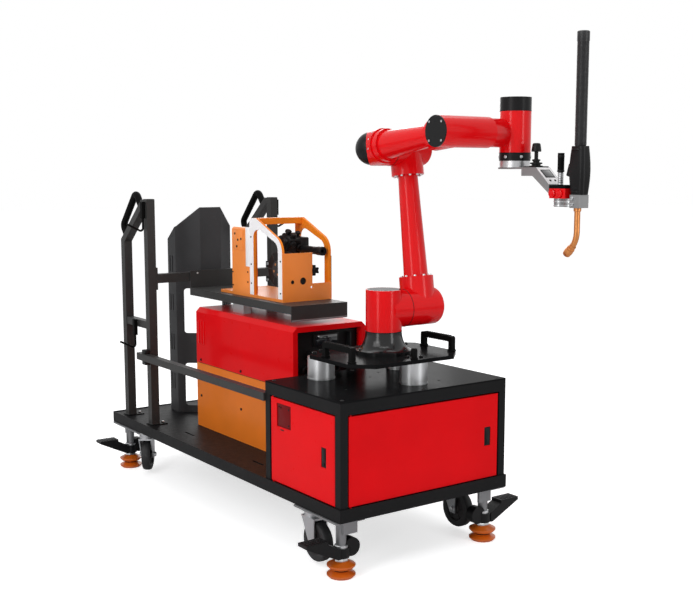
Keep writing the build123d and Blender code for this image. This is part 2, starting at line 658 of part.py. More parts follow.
def cylinder_bracket():
    line = Polyline(*[(x, y) for x, y in bracket_outline()])
    sheet = offset(line, amount=BRACKET_SHEET / 2, kind=Kind.INTERSECTION)
    shell = Pos(0, 0, DECK_TOP) * extrude(make_face(sheet), amount=BRACKET_TOP + DECK_LIP)
    c, w = BRACKET_CENTRE / 2, BRACKET_CENTRE / 2 + BRACKET_WING_Y
    x1 = BRACKET_X - BRACKET_WING_X
    x2 = x1 - BRACKET_FLANGE
    top = DECK_HEIGHT + BRACKET_TOP
    far = BRACKET_FLANGE + BRACKET_WING_X
    # The top edge falls from the centre to the wings' ends, and again along the flanges.
    for side in (-1, 1):
        wing_cut = Polyline((0, side * c, top), (0, side * (w + far), top),
                            (0, side * (w + far), DECK_HEIGHT + BRACKET_WING_TOP),
                            (0, side * w, DECK_HEIGHT + BRACKET_WING_TOP), close=True)
        shell -= Pos(x2 - far, 0, 0) * extrude(make_face(wing_cut), amount=4 * far, dir=(1, 0, 0))
        flange_cut = side_profile([
            (x1 - BRACKET_SHEET, DECK_HEIGHT + BRACKET_WING_TOP + far),
            (x1 - BRACKET_SHEET, DECK_HEIGHT + BRACKET_WING_TOP),
            (x2 - BRACKET_SHEET, DECK_HEIGHT + BRACKET_FLANGE_TOP),
            (x2 - far, DECK_HEIGHT + BRACKET_FLANGE_TOP),
            (x2 - far, DECK_HEIGHT + BRACKET_WING_TOP + far),
        ], side * w - far / 4, side * w + far / 4)
        shell -= flange_cut
        for row in BRACKET_SLOT_ROWS:
            for x in (x2 + BRACKET_FLANGE * 0.3, x2 + BRACKET_FLANGE * 0.6):
                shell -= Pos(x, side * w, DECK_HEIGHT + row) * Box(
                    BRACKET_SLOT[0], 4 * BRACKET_SHEET, BRACKET_SLOT[1])
    half = c + BRACKET_WING_Y - BRACKET_WINDOW_EDGE
    for low, high in BRACKET_WINDOWS:
        window = Pos(BRACKET_X, 0, DECK_HEIGHT + (low + high) / 2) * Box(4 * far, 2 * half, high - low)
        corners = window.edges().filter_by(Axis.X)
        shell -= fillet(corners, BRACKET_WINDOW_EDGE / 2)
    return Pos(0, BRACKET_Y, 0) * shell


def arch_outline(inset, top_drop, nose_drop):
    """The feeder side's outline in X and Z, drawn in from the outer edge at the legs, the top and the nose."""
    front = FEEDER_FRONT_X - inset
    rear = FEEDER_FRONT_X - FEEDER_FRAME_LENGTH + inset
    top = TRAY_TOP + FEEDER_HEIGHT - top_drop
    nose = TRAY_TOP + FEEDER_NOSE - nose_drop
    return [(front, FEEDER_FLOOR), (front, nose), (rear + ARCH_CROWN, top), (rear, top), (rear, FEEDER_FLOOR)]


def bent_corners(plate, radius, nose_radius):
    """A feeder side with its nose and its two upper corners rounded."""
    nosed = fillet(plate.edges().filter_by(Axis.Y).sort_by(Axis.Z)[-3], nose_radius)
    return fillet(nosed.edges().filter_by(Axis.Y).sort_by(Axis.Z)[-2:], radius)


def feeder_frame():
    half = FEEDER_WIDTH / 2
    frame = None
    for side in (-1, 1):
        y0 = FEEDER_Y + side * half
        y1 = y0 - side * FEEDER_SHEET
        outer = side_profile(arch_outline(0, 0, 0), min(y0, y1), max(y0, y1))
        inner = side_profile(arch_outline(FEEDER_BAR, ARCH_CROWN_DEPTH, ARCH_NOSE_DROP), min(y0, y1), max(y0, y1))
        arch = bent_corners(outer, ARCH_ROUND, ARCH_NOSE_ROUND)
        arch -= bent_corners(inner, ARCH_INNER_ROUND, ARCH_INNER_NOSE_ROUND)
        frame = arch if frame is None else frame + arch
    rear = FEEDER_FRONT_X - FEEDER_FRAME_LENGTH
    top = TRAY_TOP + FEEDER_HEIGHT
    bar = block(rear, rear + FEEDER_TOP_BAR[0], FEEDER_Y - half, FEEDER_Y + half, top - FEEDER_TOP_BAR[1], top)
    corner = bar.edges().filter_by(Axis.Y).group_by(Axis.Z)[-1].sort_by(Axis.X)[0]
    return frame + fillet(corner, ARCH_ROUND)


def feeder_base():
    half = FEEDER_WIDTH / 2
    x0 = FEEDER_FRONT_X - FEEDER_BASE_LENGTH
    base = block(x0, FEEDER_FRONT_X, FEEDER_Y - half, FEEDER_Y + half, TRAY_TOP, FEEDER_FLOOR)
    x1 = FEEDER_FRONT_X + FEEDER_PLATE
    split = FEEDER_Y - half + FEEDER_WIDTH * FEEDER_PLATE_SPLIT
    plate = block(FEEDER_FRONT_X, x1, FEEDER_Y - half, split, TRAY_TOP, TRAY_TOP + FEEDER_PLATE_TOP)
    plate += block(FEEDER_FRONT_X, x1, split, FEEDER_Y + half, TRAY_TOP, TRAY_TOP + FEEDER_PLATE_LOW)
    for across, height, radius in FEEDER_PORTS:
        y, z = FEEDER_Y - half + across, TRAY_TOP + height
        plate -= rod((FEEDER_FRONT_X, y, z), (x1, y, z), radius)
    # The spool's axle bracket stands on the base.
    axle_x = FEEDER_FRONT_X - FEEDER_FRAME_LENGTH / 2 + SPOOL_X
    z = FEEDER_FLOOR + SPOOL_HEIGHT
    y = FEEDER_Y + SPOOL_Y + SPOOL_WIDTH / 2 + RUN_GAP
    stand = block(axle_x - SPOOL_HUB_R, axle_x + SPOOL_HUB_R, y, y + SPOOL_BRACKET, FEEDER_FLOOR, z)
    stand += crossways(axle_x, z, y, y + SPOOL_BRACKET, SPOOL_HUB_R)
    stand += crossways(axle_x, z, y - SPOOL_WIDTH - RUN_GAP, y, SPOOL_AXLE_R)
    return base + plate + stand


def feeder_box():
    """The closed box at the feeder's rear, standing on the base behind the arches."""
    x1 = FEEDER_FRONT_X - FEEDER_FRAME_LENGTH
    y0 = FEEDER_Y - FEEDER_WIDTH / 2
    box = block(x1 - BOX_LENGTH, x1, y0, y0 + BOX_WIDTH, FEEDER_FLOOR, TRAY_TOP + BOX_TOP)
    edges = box.edges().filter_by(Axis.X).group_by(Axis.Z)[-1]
    return fillet(edges, BOX_BASE)


def wire_drive():
    """The motor and roller block fixed to the far side, with the wire outlet pointing forwards."""
    y1 = FEEDER_Y + FEEDER_WIDTH / 2 - FEEDER_SHEET
    x0 = FEEDER_FRONT_X - FEEDER_FRAME_LENGTH + DRIVE_BACK
    z0 = TRAY_TOP + DRIVE_BASE
    drive = block(x0, x0 + DRIVE_SIZE[0], y1 - DRIVE_SIZE[1], y1, z0, z0 + DRIVE_SIZE[2])
    y = y1 - OUTLET_SIDE
    z = z0 + OUTLET_RISE
    start = x0 + DRIVE_SIZE[0]
    return drive + rod((start, y, z), (start + OUTLET_LENGTH, y, z), OUTLET_R)


def wire_spool():
    axle_x = FEEDER_FRONT_X - FEEDER_FRAME_LENGTH / 2 + SPOOL_X
    z = FEEDER_FLOOR + SPOOL_HEIGHT
    y0 = FEEDER_Y + SPOOL_Y - SPOOL_WIDTH / 2
    y1 = y0 + SPOOL_WIDTH
    spool = crossways(axle_x, z, y0, y1, SPOOL_HUB_R)
    for start in (y0, y1 - SPOOL_FLANGE):
        spool += crossways(axle_x, z, start, start + SPOOL_FLANGE, SPOOL_R)
    return spool - crossways(axle_x, z, y0, y1, SPOOL_AXLE_R + RUN_GAP)


def standoff_places():
    rear_x, rear_y = STANDOFF_REAR
    return [(ARM_X - rear_x, -rear_y), (ARM_X - rear_x, rear_y), (ARM_X + STANDOFF_FRONT, STANDOFF_FRONT_SIDE)]


def standoffs():
    return [upright(x, y, CABINET_TOP, PLATE_BOTTOM, STANDOFF_R) for x, y in standoff_places()]


def base_plate():
    plate = block(ARM_X - BASE_PLATE_X / 2, ARM_X + BASE_PLATE_X / 2,
                  -BASE_PLATE_Y / 2, BASE_PLATE_Y / 2, PLATE_BOTTOM, PLATE_TOP)
    return chamfer(plate.edges().filter_by(Axis.Z), BASE_PLATE_CORNER)


def plate_handles():
    """Two bridge handles along the plate's long sides."""
    half = PLATE_HANDLE_LENGTH / 2
    y = BASE_PLATE_Y / 2 - PLATE_HANDLE_EDGE
    t = PLATE_HANDLE_TUBE
    x = ARM_X + PLATE_HANDLE_SHIFT
    top = PLATE_TOP + PLATE_HANDLE_HEIGHT
    handle = block(x - half, x + half, y - t / 2, y + t / 2, PLATE_TOP, top)
    handle -= block(x - half + t, x + half - t, y - t / 2, y + t / 2, PLATE_TOP, top - t)
    return both_sides(fillet(handle.edges().filter_by(Axis.Y).group_by(Axis.Z)[-1], t / 2))


def arm_foot():
    flange_top = PLATE_TOP + FOOT_FLANGE
    top = PLATE_TOP + FOOT_HEIGHT
    rise = top - flange_top
    flare = FOOT_R - COLUMN_R
    outline = Polyline((0, PLATE_TOP), (FOOT_R, PLATE_TOP), (FOOT_R, flange_top))
    neck = Spline((FOOT_R, flange_top), (COLUMN_R + flare * 0.22, flange_top + rise * 0.42), (COLUMN_R, top),
                  tangents=((-1, 0.35), (-0.05, 1)))
    close = Polyline((COLUMN_R, top), (0, top), (0, PLATE_TOP))
    foot = revolve(Plane.XZ * make_face(Curve() + [outline, neck, close]), Axis.Z)
    return Pos(ARM_X, 0, 0) * foot


def shoulder_column():
    top = COLUMN_BASE + COLUMN_HEIGHT
    column = upright(ARM_X, 0, COLUMN_BASE, top, COLUMN_R)
    column += crossways(ARM_X, SHOULDER_Z, 0, SHOULDER_REACH, SHOULDER_R)
    return column - upright(ARM_X, 0, top - COLUMN_CAP, top, COLUMN_R - CAP_INSET)


def column_cap():
    top = COLUMN_BASE + COLUMN_HEIGHT
    return upright(ARM_X, 0, top - COLUMN_CAP, top, COLUMN_R - CAP_INSET)


def along_upper(distance):
    """A point on the upper arm's middle line, measured from the shoulder's axis."""
    lean = math.radians(UPPER_LEAN)
    y = SHOULDER_REACH + JOINT_GAP + SHOULDER_TEE / 2
    return (ARM_X + distance * math.sin(lean), y, SHOULDER_Z + distance * math.cos(lean))


def rounded_drum(x, z, y0, y1, radius):
    """A joint drum along Y with its far end rounded."""
    drum = crossways(x, z, y0, y1, radius)
    return fillet(drum.edges().filter_by(GeomType.CIRCLE).sort_by(Axis.Y)[-1], TEE_ROUND)


def upper_arm():
    y0 = SHOULDER_REACH + JOINT_GAP
    arm = rounded_drum(ARM_X, SHOULDER_Z, y0, y0 + SHOULDER_TEE, SHOULDER_R)
    arm += rounded_drum(ELBOW_X, ELBOW_Z, y0, y0 + ELBOW_TEE, ELBOW_R)
    high = UPPER_LENGTH - HIGH_COLLAR_END
    arm += rod(along_upper(0), along_upper(LOW_COLLAR_END), LOW_COLLAR_R)
    arm += rod(along_upper(LOW_COLLAR_END), along_upper(high), UPPER_R_LOW, UPPER_R_HIGH)
    arm += rod(along_upper(high), along_upper(UPPER_LENGTH), HIGH_COLLAR_R)
    return arm


def along_forearm(distance):
    """A point on the forearm's middle line, measured from the elbow's axis."""
    tilt = math.radians(FOREARM_TILT)
    return (ELBOW_X + distance * math.cos(tilt), FOREARM_Y, ELBOW_Z + distance * math.sin(tilt))


def elbow_cap_plane():
    """The slanting plane across the elbow's outer corner, facing outwards."""
    tilt = math.radians(FOREARM_TILT)
    out = Vector(-math.cos(tilt), -1, -math.sin(tilt)).normalized()
    corner = Vector(*along_forearm(0))
    return Plane(origin=corner + out * ELBOW_CAP_PLANE, z_dir=out)


def elbow_solid():
    corner = Pos(*along_forearm(0)) * Sphere(ELBOW_R)
    stub = crossways(ELBOW_X, ELBOW_Z, FOREARM_Y, SHOULDER_REACH, ELBOW_R)
    nose = rod(along_forearm(0), along_forearm(ELBOW_NOSE), ELBOW_R)
    return corner + stub + nose


def elbow_housing():
    span = 4 * ELBOW_R
    outside = elbow_cap_plane() * Box(span, span, span, align=(Align.CENTER, Align.CENTER, Align.MIN))
    return elbow_solid() - outside


def elbow_cap():
    span = 4 * ELBOW_R
    outside = elbow_cap_plane() * Box(span, span, span, align=(Align.CENTER, Align.CENTER, Align.MIN))
    ball = Pos(*along_forearm(0)) * Sphere(ELBOW_CAP_R)
    return ball & outside


def forearm():
    start = ELBOW_NOSE + JOINT_GAP
    collar_end = start + FOREARM_COLLAR
    wrist_start = FOREARM_LENGTH - WRIST_R - WRIST_COLLAR
    arm = rod(along_forearm(start), along_forearm(collar_end), FOREARM_COLLAR_R)
    arm += rod(along_forearm(collar_end), along_forearm(wrist_start), FOREARM_R_ROOT, FOREARM_R_TIP)
    arm += rod(along_forearm(wrist_start), along_forearm(FOREARM_LENGTH), WRIST_COLLAR_R)
    back = FOREARM_Y - WRIST_BACK + DISC_SHEET
    arm += crossways(WRIST_X, WRIST_Z, back, WRIST_SPLIT_Y, WRIST_R)
    return arm - crossways(WRIST_X, WRIST_Z, back - 2 * WRIST_COLLAR_R, back, 2 * WRIST_COLLAR_R)


def wrist_disc():
    back = FOREARM_Y - WRIST_BACK
    return crossways(WRIST_X, WRIST_Z, back, back + DISC_SHEET, WRIST_R)


def wrist_column():
    """The upright tip column and the neck that narrows towards it from the round wrist joint."""
    column = upright(WRIST_X, TIP_Y, TIP_BOTTOM, TIP_TOP, TIP_COLUMN_R)
    joint = Plane(origin=(WRIST_X, WRIST_SPLIT_Y + JOINT_GAP, WRIST_Z), x_dir=(1, 0, 0), z_dir=(0, 1, 0))
    root = Plane(origin=(WRIST_X - WRIST_NECK_SHIFT, TIP_Y, WRIST_Z), x_dir=(1, 0, 0), z_dir=(0, 1, 0))
    neck = loft([joint * Circle(WRIST_NECK_R), root * Ellipse(WRIST_NECK_HALF_WIDTH, WRIST_NECK_R)])
    return column + neck


def wrist_caps():
    cap = upright(WRIST_X, TIP_Y, TIP_TOP, TIP_TOP + TIP_CAP, TIP_COLUMN_R)
    ring = upright(WRIST_X, TIP_Y, TIP_BOTTOM - TIP_RING, TIP_BOTTOM, TIP_COLUMN_R)
    return [cap, ring]


def tool_flange():
    return upright(WRIST_X, TIP_Y, FLANGE_FACE, FLANGE_TOP, FLANGE_R)


def tool_bracket():
    """The plate under the flange and the bar that steps down to the clamp."""
    knee = WRIST_X + BAR_KNEE
    back, start = WRIST_X - TOOL_PLATE_BACK, WRIST_X + BAR_START
    shift = BAR_THICK * BAR_SLOPE_Z / (BAR_SLOPE_X + BAR_SLOPE_Z)
    low = FLANGE_FACE - BAR_THICK
    outline = [
        (back, FLANGE_FACE), (knee, FLANGE_FACE), (TOE_X, TOE_TOP), (TOE_X, TOE_TOP - BAR_THICK),
        (knee - shift, low), (start, low), (start, FLANGE_FACE - TOOL_PLATE), (back, FLANGE_FACE - TOOL_PLATE),
    ]
    return side_profile(outline, TIP_Y - BAR_WIDTH / 2, TIP_Y + BAR_WIDTH / 2)


def joystick():
    x = WRIST_X + STICK_X
    z = FLANGE_FACE
    stick = upright(x, TIP_Y, z, z + STICK_BASE, STICK_BASE_R, STICK_NECK_R)
    stick += upright(x, TIP_Y, z + STICK_BASE, z + STICK_BASE + STICK_NECK, STICK_NECK_R)
    z += STICK_BASE + STICK_NECK
    return stick + upright(x, TIP_Y, z, z + STICK_KNOB, STICK_KNOB_R, STICK_KNOB_R * 0.8)


def clamp_outline(z0, z1):
    """The clamp's rounded block between two heights."""
    half = CLAMP_WIDTH / 2
    clamp = block(TOE_X, TOE_X + CLAMP_LENGTH, TIP_Y - half, TIP_Y + half, z0, z1)
    far = clamp.edges().filter_by(Axis.Z).group_by(Axis.X)[-1]
    return fillet(far, half * 0.6)


def torch_space():
    """The room the torch handle and its block take out of the clamp."""
    x = TORCH_AXIS_X - HANDLE_SIZE[0] / 2
    return block(x, x + CLAMP_LENGTH, TIP_Y - CLAMP_WIDTH, TIP_Y + CLAMP_WIDTH, CLAMP_BOTTOM, TOE_TOP)


def clamp_lever():
    """The clamp's black top plate with its upright lever."""
    x = WRIST_X + LEVER_X
    lever = clamp_outline(CLAMP_TOP, TOE_TOP) - torch_space()
    lever += upright(x, TIP_Y, TOE_TOP, TOE_TOP + LEVER_STEM, LEVER_STEM_R)
    z = TOE_TOP + LEVER_STEM
    return lever + upright(x, TIP_Y, z, z + LEVER_GRIP, LEVER_GRIP_R)


def quick_clamp():
    return clamp_outline(CLAMP_BOTTOM, CLAMP_TOP) - torch_space()


def torch_block():
    """The crash sensor's two drums below the clamp and the split block that grips the torch."""
    x0 = TORCH_AXIS_X - TORCH_BLOCK[0] / 2
    half = TORCH_BLOCK[1] / 2
    body = block(x0, x0 + TORCH_BLOCK[0], TIP_Y - half, TIP_Y + half, BLOCK_BOTTOM, BLOCK_TOP)
    low = CLAMP_BOTTOM - SENSOR_HEIGHT
    start = TOE_X + SENSOR_R
    for x in (start, start + SENSOR_SPACING):
        body += upright(x, TIP_Y, low, CLAMP_BOTTOM, SENSOR_R)
    body += block(start, x0 + half, TIP_Y - SENSOR_R / 2, TIP_Y + SENSOR_R / 2, low, CLAMP_BOTTOM)
    return body - upright(NECK_X, TIP_Y, min(low, BLOCK_BOTTOM), BLOCK_TOP, NECK_R + RUN_GAP / 5)


def torch_handle():
    grip = Pos(TORCH_AXIS_X, TIP_Y, BLOCK_TOP) * Box(
        HANDLE_SIZE[0], HANDLE_SIZE[1], HANDLE_LENGTH, align=(Align.CENTER, Align.CENTER, Align.MIN))
    grip = fillet(grip.edges().filter_by(Axis.Z), HANDLE_ROUND)
    x1 = TORCH_AXIS_X - HANDLE_SIZE[0] / 2
    z1 = BLOCK_TOP + HANDLE_LENGTH / 2 + TRIGGER[2] / 2
    trigger = side_profile([(x1, z1), (x1, z1 - TRIGGER[2]), (x1 - TRIGGER[0], z1 - TRIGGER[2] / 3)],
                           TIP_Y - TRIGGER[1] / 2, TIP_Y + TRIGGER[1] / 2)
    return grip + trigger


def torch_tube():
    z = BLOCK_TOP + HANDLE_LENGTH
    return upright(TORCH_AXIS_X, TIP_Y, z, z + TUBE_LENGTH, TUBE_R)


def torch_neck():
    """The bent copper neck from the block down to the nozzle."""
    bottom = BLOCK_BOTTOM - NECK_STRAIGHT
    bend = math.radians(NECK_BEND)
    centre_x = NECK_X - NECK_BEND_R
    mid = (centre_x + NECK_BEND_R * math.cos(bend / 2), TIP_Y, bottom - NECK_BEND_R * math.sin(bend / 2))
    end = (centre_x + NECK_BEND_R * math.cos(bend), TIP_Y, bottom - NECK_BEND_R * math.sin(bend))
    straight = Line((NECK_X, TIP_Y, BLOCK_TOP), (NECK_X, TIP_Y, bottom))
    path = Curve() + [straight, ThreePointArc((NECK_X, TIP_Y, bottom), mid, end)]
    section = Plane(origin=(NECK_X, TIP_Y, BLOCK_TOP), z_dir=(0, 0, -1)) * Circle(NECK_R)
    neck = sweep(section, path=path)
    tip = (end[0] - NOZZLE_LENGTH * math.sin(bend), TIP_Y, end[2] - NOZZLE_LENGTH * math.cos(bend))
    return neck + rod(end, tip, NOZZLE_R, NOZZLE_R * 0.85)


def caster_mounts():
    """Each caster's top plate and grey leg: sign of X and of Y."""
    mounts = []
    for sx, sy in CASTER_CORNERS:
        x, y = sx * CASTER_X, sy * CASTER_Y
        outer = x + sx * (CASTER_PLATE[1] / 2)
        inner = outer - sx * CASTER_PLATE[0]
        plate = block(inner, outer, y - CASTER_PLATE[1] / 2, y + CASTER_PLATE[1] / 2, CASTER_PLATE_BOTTOM, DECK_BOTTOM)
        leg = upright(x, y, PAD_PITCH + PAD_THICK, CASTER_PLATE_BOTTOM, LEG_R)
        face = x + sx * GUARD_OUT
        middle = y - sy * GUARD_SHIFT
        guard = block(face, face + sx * GUARD[0], middle - GUARD[1] / 2, middle + GUARD[1] / 2,
                      CASTER_PLATE_BOTTOM - GUARD[2], CASTER_PLATE_BOTTOM)
        mounts.append(plate + leg + guard)
    return mounts


CASTER_CORNERS = ((1, -1), (1, 1), (-1, -1), (-1, 1))


def levelling_pads():
    """Double pads with a waist, standing on the floor."""
    pads = []
    rim = PAD_R
    profile = [(0, 0), (rim - PAD_EDGE, 0), (rim, PAD_EDGE), (rim, PAD_EDGE * 1.6), (PAD_WAIST_R, PAD_THICK)]
    for r, z in profile[1:4]:
        profile.append((r, z + PAD_PITCH))
    profile += [(PAD_WAIST_R, PAD_THICK + PAD_PITCH), (0, PAD_THICK + PAD_PITCH)]
    for sx, sy in CASTER_CORNERS:
        pads.append(turned(profile, sx * CASTER_X, sy * CASTER_Y))
    return pads


def caster_pedals():
    """The black levelling levers, each clasping its leg, with a tread outwards and a round lobe inwards."""
    pedals = []
    for sx, sy in CASTER_CORNERS:
        x, y = sx * CASTER_X, sy * CASTER_Y
        half = PEDAL_WIDTH / 2
        outline = Polyline((0, sy * LEG_R, PEDAL_LOW), (0, sy * LEG_R, PEDAL_LOW + PEDAL_COLLAR),
                           (0, sy * PEDAL_REACH * 0.45, PEDAL_HEIGHT - PEDAL_TREAD),
                           (0, sy * PEDAL_REACH * 0.45, PEDAL_HEIGHT), (0, sy * PEDAL_REACH, PEDAL_HEIGHT),
                           (0, sy * PEDAL_REACH, PEDAL_HEIGHT - PEDAL_TREAD),
                           (0, sy * PEDAL_COLLAR_R, PEDAL_LOW), close=True)
        lever = Pos(x - half, y, 0) * extrude(make_face(outline), amount=PEDAL_WIDTH, dir=(1, 0, 0))
        collar = upright(x, y, PEDAL_LOW, PEDAL_LOW + PEDAL_COLLAR, PEDAL_COLLAR_R)
        lobe_y, lobe_z = y - sy * LOBE_OUT, PEDAL_LOW + LOBE_R
        lobe = rod((x - LOBE_WIDTH / 2, lobe_y, lobe_z), (x + LOBE_WIDTH / 2, lobe_y, lobe_z), LOBE_R)
        pedals.append((lever + collar + lobe) - upright(x, y, 0, CASTER_PLATE_BOTTOM, LEG_R))
    return pedals


def swivel_x(sx):
    return sx * (CASTER_X - SWIVEL_OFFSET)


def wheel_x(sx):
    return swivel_x(sx) + sx * WHEEL_TRAIL


def swivelled(shape, sx, sy):
    """A fork or wheel turned about its swivel: the rear left one stands askew."""
    x, y = swivel_x(sx), sy * CASTER_Y
    turn = REAR_LEFT_TURN if (sx, sy) == (-1, -1) else 0
    return Pos(x, y, 0) * Rot(0, 0, turn) * Pos(-x, -y, 0) * shape


def caster_fork(sx, sy):
    x, y = swivel_x(sx), sy * CASTER_Y
    axle = wheel_x(sx)
    inner = WHEEL_WIDTH / 2 + FORK_GAP
    outer = inner + FORK_SHEET
    crown = CROWN_BOTTOM
    fork = upright(x, y, crown, CASTER_PLATE_BOTTOM - PIN_GAP, SWIVEL_R)
    lean_front = max(x + FORK_LEG, axle + FORK_LEG / 2)
    lean_rear = min(x - FORK_LEG, axle - FORK_LEG / 2)
    fork += block(lean_rear, lean_front, y - outer, y + outer, crown, crown + FORK_CROWN)
    outline = [(lean_rear, crown + FORK_CROWN), (lean_front, crown + FORK_CROWN),
               (axle + FORK_LEG / 2, WHEEL_Z - FORK_LEG / 2), (axle - FORK_LEG / 2, WHEEL_Z - FORK_LEG / 2)]
    for side in (-1, 1):
        y0, y1 = sorted((y + side * inner, y + side * outer))
        fork += side_profile(outline, y0, y1)
    fork += crossways(axle, WHEEL_Z, y - outer, y + outer, WHEEL_BORE_R - RUN_GAP / 5)
    return swivelled(fork, sx, sy)


def caster_wheel(sx, sy):
    x, y = wheel_x(sx), sy * CASTER_Y
    half = WHEEL_WIDTH / 2
    wheel = crossways(x, WHEEL_Z, y - half, y + half, WHEEL_R)
    wheel = fillet(wheel.edges().filter_by(GeomType.CIRCLE), WHEEL_ROUND)
    return swivelled(wheel - crossways(x, WHEEL_Z, y - half, y + half, WHEEL_BORE_R), sx, sy)


NODES = {
    "deck_tray": deck_tray,
    "cabinet_frame": cabinet_frame,
    "cabinet_top": cabinet_top,
    "cabinet_back_panel": cabinet_back_panel,
    "cabinet_side_panel": cabinet_side_panel,
    "side_door": side_door,
    "front_door": front_door,
    "power_source_base": power_source_base,
    "power_source_cover": power_source_cover,
    "power_source_face": power_source_face,
    "tray_spacers": tray_spacers,
    "feeder_tray": feeder_tray,
    "cross_rail": cross_rail,
    "side_rails": side_rails,
    "push_frame_left": lambda: push_frame(-1),
    "push_frame_right": lambda: push_frame(1),
    "push_grips": push_grips,
    "cable_hooks": cable_hooks,
    "cylinder_bracket": cylinder_bracket,
    "feeder_frame": feeder_frame,
    "feeder_base": feeder_base,
    "feeder_box": feeder_box,
    "wire_drive": wire_drive,
    "wire_spool": wire_spool,
    "standoffs": standoffs,
    "base_plate": base_plate,
    "plate_handles": plate_handles,
    "arm_foot": arm_foot,
    "shoulder_column": shoulder_column,
    "column_cap": column_cap,
    "upper_arm": upper_arm,
    "elbow_housing": elbow_housing,
    "elbow_cap": elbow_cap,
    "forearm": forearm,
    "wrist_disc": wrist_disc,
    "wrist_column": wrist_column,
    "wrist_caps": wrist_caps,
    "tool_flange": tool_flange,
    "tool_bracket": tool_bracket,
    "joystick": joystick,
    "clamp_lever": clamp_lever,
    "quick_clamp": quick_clamp,
    "torch_block": torch_block,
    "torch_handle": torch_handle,
    "torch_tube": torch_tube,
    "torch_neck": torch_neck,
    "caster_mounts": caster_mounts,
    "levelling_pads": levelling_pads,
    "caster_pedals": caster_pedals,
}
CORNER_NAMES = {(1, -1): "front_left", (1, 1): "front_right", (-1, -1): "rear_left", (-1, 1): "rear_right"}


def build():
    """Every node's shape by name, moved so that the origin lies below the station's middle."""
    place = Pos(-ORIGIN_X, 0, 0)
    shapes = {}
    for name, make in NODES.items():
        made = make()
        if isinstance(made, list):
            shapes[name] = Compound(children=[place * piece for piece in made])
        else:
            shapes[name] = place * made
    for corner, name in CORNER_NAMES.items():
        shapes["caster_fork_" + name] = place * caster_fork(*corner)
        shapes["caster_wheel_" + name] = place * caster_wheel(*corner)
    return shapes


os.makedirs("parts", exist_ok=True)
SHAPES = build()
for node, shape in SHAPES.items():
    export_step(shape, os.path.join("parts", node + ".step"))
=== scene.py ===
import json
import math

import bmesh
import bpy
from mathutils import Matrix, Vector


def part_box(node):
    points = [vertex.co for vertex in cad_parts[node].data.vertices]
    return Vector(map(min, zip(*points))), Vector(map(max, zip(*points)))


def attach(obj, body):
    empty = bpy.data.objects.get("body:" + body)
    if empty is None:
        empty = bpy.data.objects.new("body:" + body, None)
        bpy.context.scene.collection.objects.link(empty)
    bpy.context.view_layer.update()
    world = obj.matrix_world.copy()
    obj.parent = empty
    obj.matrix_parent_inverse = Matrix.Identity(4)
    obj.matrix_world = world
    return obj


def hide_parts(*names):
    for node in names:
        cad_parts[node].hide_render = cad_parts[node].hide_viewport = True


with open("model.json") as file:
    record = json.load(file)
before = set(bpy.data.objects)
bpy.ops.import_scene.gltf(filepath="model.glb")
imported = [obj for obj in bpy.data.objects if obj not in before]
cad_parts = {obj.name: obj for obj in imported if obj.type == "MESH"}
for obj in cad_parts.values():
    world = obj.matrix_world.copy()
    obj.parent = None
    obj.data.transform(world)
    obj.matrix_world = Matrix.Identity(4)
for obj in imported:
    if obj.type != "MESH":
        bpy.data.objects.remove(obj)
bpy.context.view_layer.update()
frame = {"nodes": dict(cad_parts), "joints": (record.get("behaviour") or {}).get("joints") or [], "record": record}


# The studio. A pale seamless floor, tall soft boxes on the camera's left and right, a strip high in front,
# and weak lamps above and behind. The camera stands off the cabinet's near corner, about as high as the arm.
scene = bpy.context.scene
scene.view_settings.view_transform = "Standard"
deck_low, deck_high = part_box("deck_tray")

camera = bpy.data.objects.new("camera", bpy.data.cameras.new("camera"))
scene.collection.objects.link(camera)
scene.camera = camera
camera.data.lens = 55.89
camera.data.sensor_width = 36.0
camera.data.shift_x = -0.0075
camera.data.shift_y = 0.0224
camera.location = (deck_low.x + 4.0335, deck_low.y - 1.7057, deck_high.z + 0.9591)
turn, drop = math.radians(54.33), math.radians(7.58)
looking_back = Vector((math.sin(turn) * math.cos(drop), -math.cos(turn) * math.cos(drop), math.sin(drop)))
camera.rotation_mode = "QUATERNION"
camera.rotation_quaternion = (-looking_back).to_track_quat("-Z", "Y")


def studio_lamp(name, place, aim_at, size, power):
    """A soft rectangular lamp that faces a point."""
    lamp = bpy.data.lights.new(name, "AREA")
    lamp.shape = "RECTANGLE"
    lamp.size, lamp.size_y = size
    lamp.energy = power
    holder = bpy.data.objects.new(name, lamp)
    scene.collection.objects.link(holder)
    holder.location = place
    holder.rotation_mode = "QUATERNION"
    holder.rotation_quaternion = (Vector(aim_at) - Vector(place)).to_track_quat("-Z", "Y")


studio_lamp("key_lamp", (0.9, -3.6, 3.1), (0.0, 0.0, 0.7), (2.6, 2.0), 50)
studio_lamp("left_box", (1.35, -3.5, 1.4), (0.3, 0.0, 0.9), (0.8, 2.4), 28)
studio_lamp("right_box", (3.9, 0.96, 1.4), (0.4, 0.0, 0.9), (0.7, 2.4), 26)
studio_lamp("high_strip", (2.1, -1.2, 3.6), (0.4, 0.0, 1.2), (2.4, 0.3), 14)
studio_lamp("top_lamp", (-0.6, 0.6, 3.9), (0.0, 0.0, 0.4), (2.8, 2.8), 34)
studio_lamp("back_lamp", (-3.4, 2.4, 2.3), (0.0, 0.0, 0.8), (1.8, 1.8), 28)


def math_node(tree, operation, second=None):
    """A Math node, with its second value set where that is fixed."""
    node = tree.nodes.new("ShaderNodeMath")
    node.operation = operation
    if second is not None:
        node.inputs[1].default_value = second
    return node


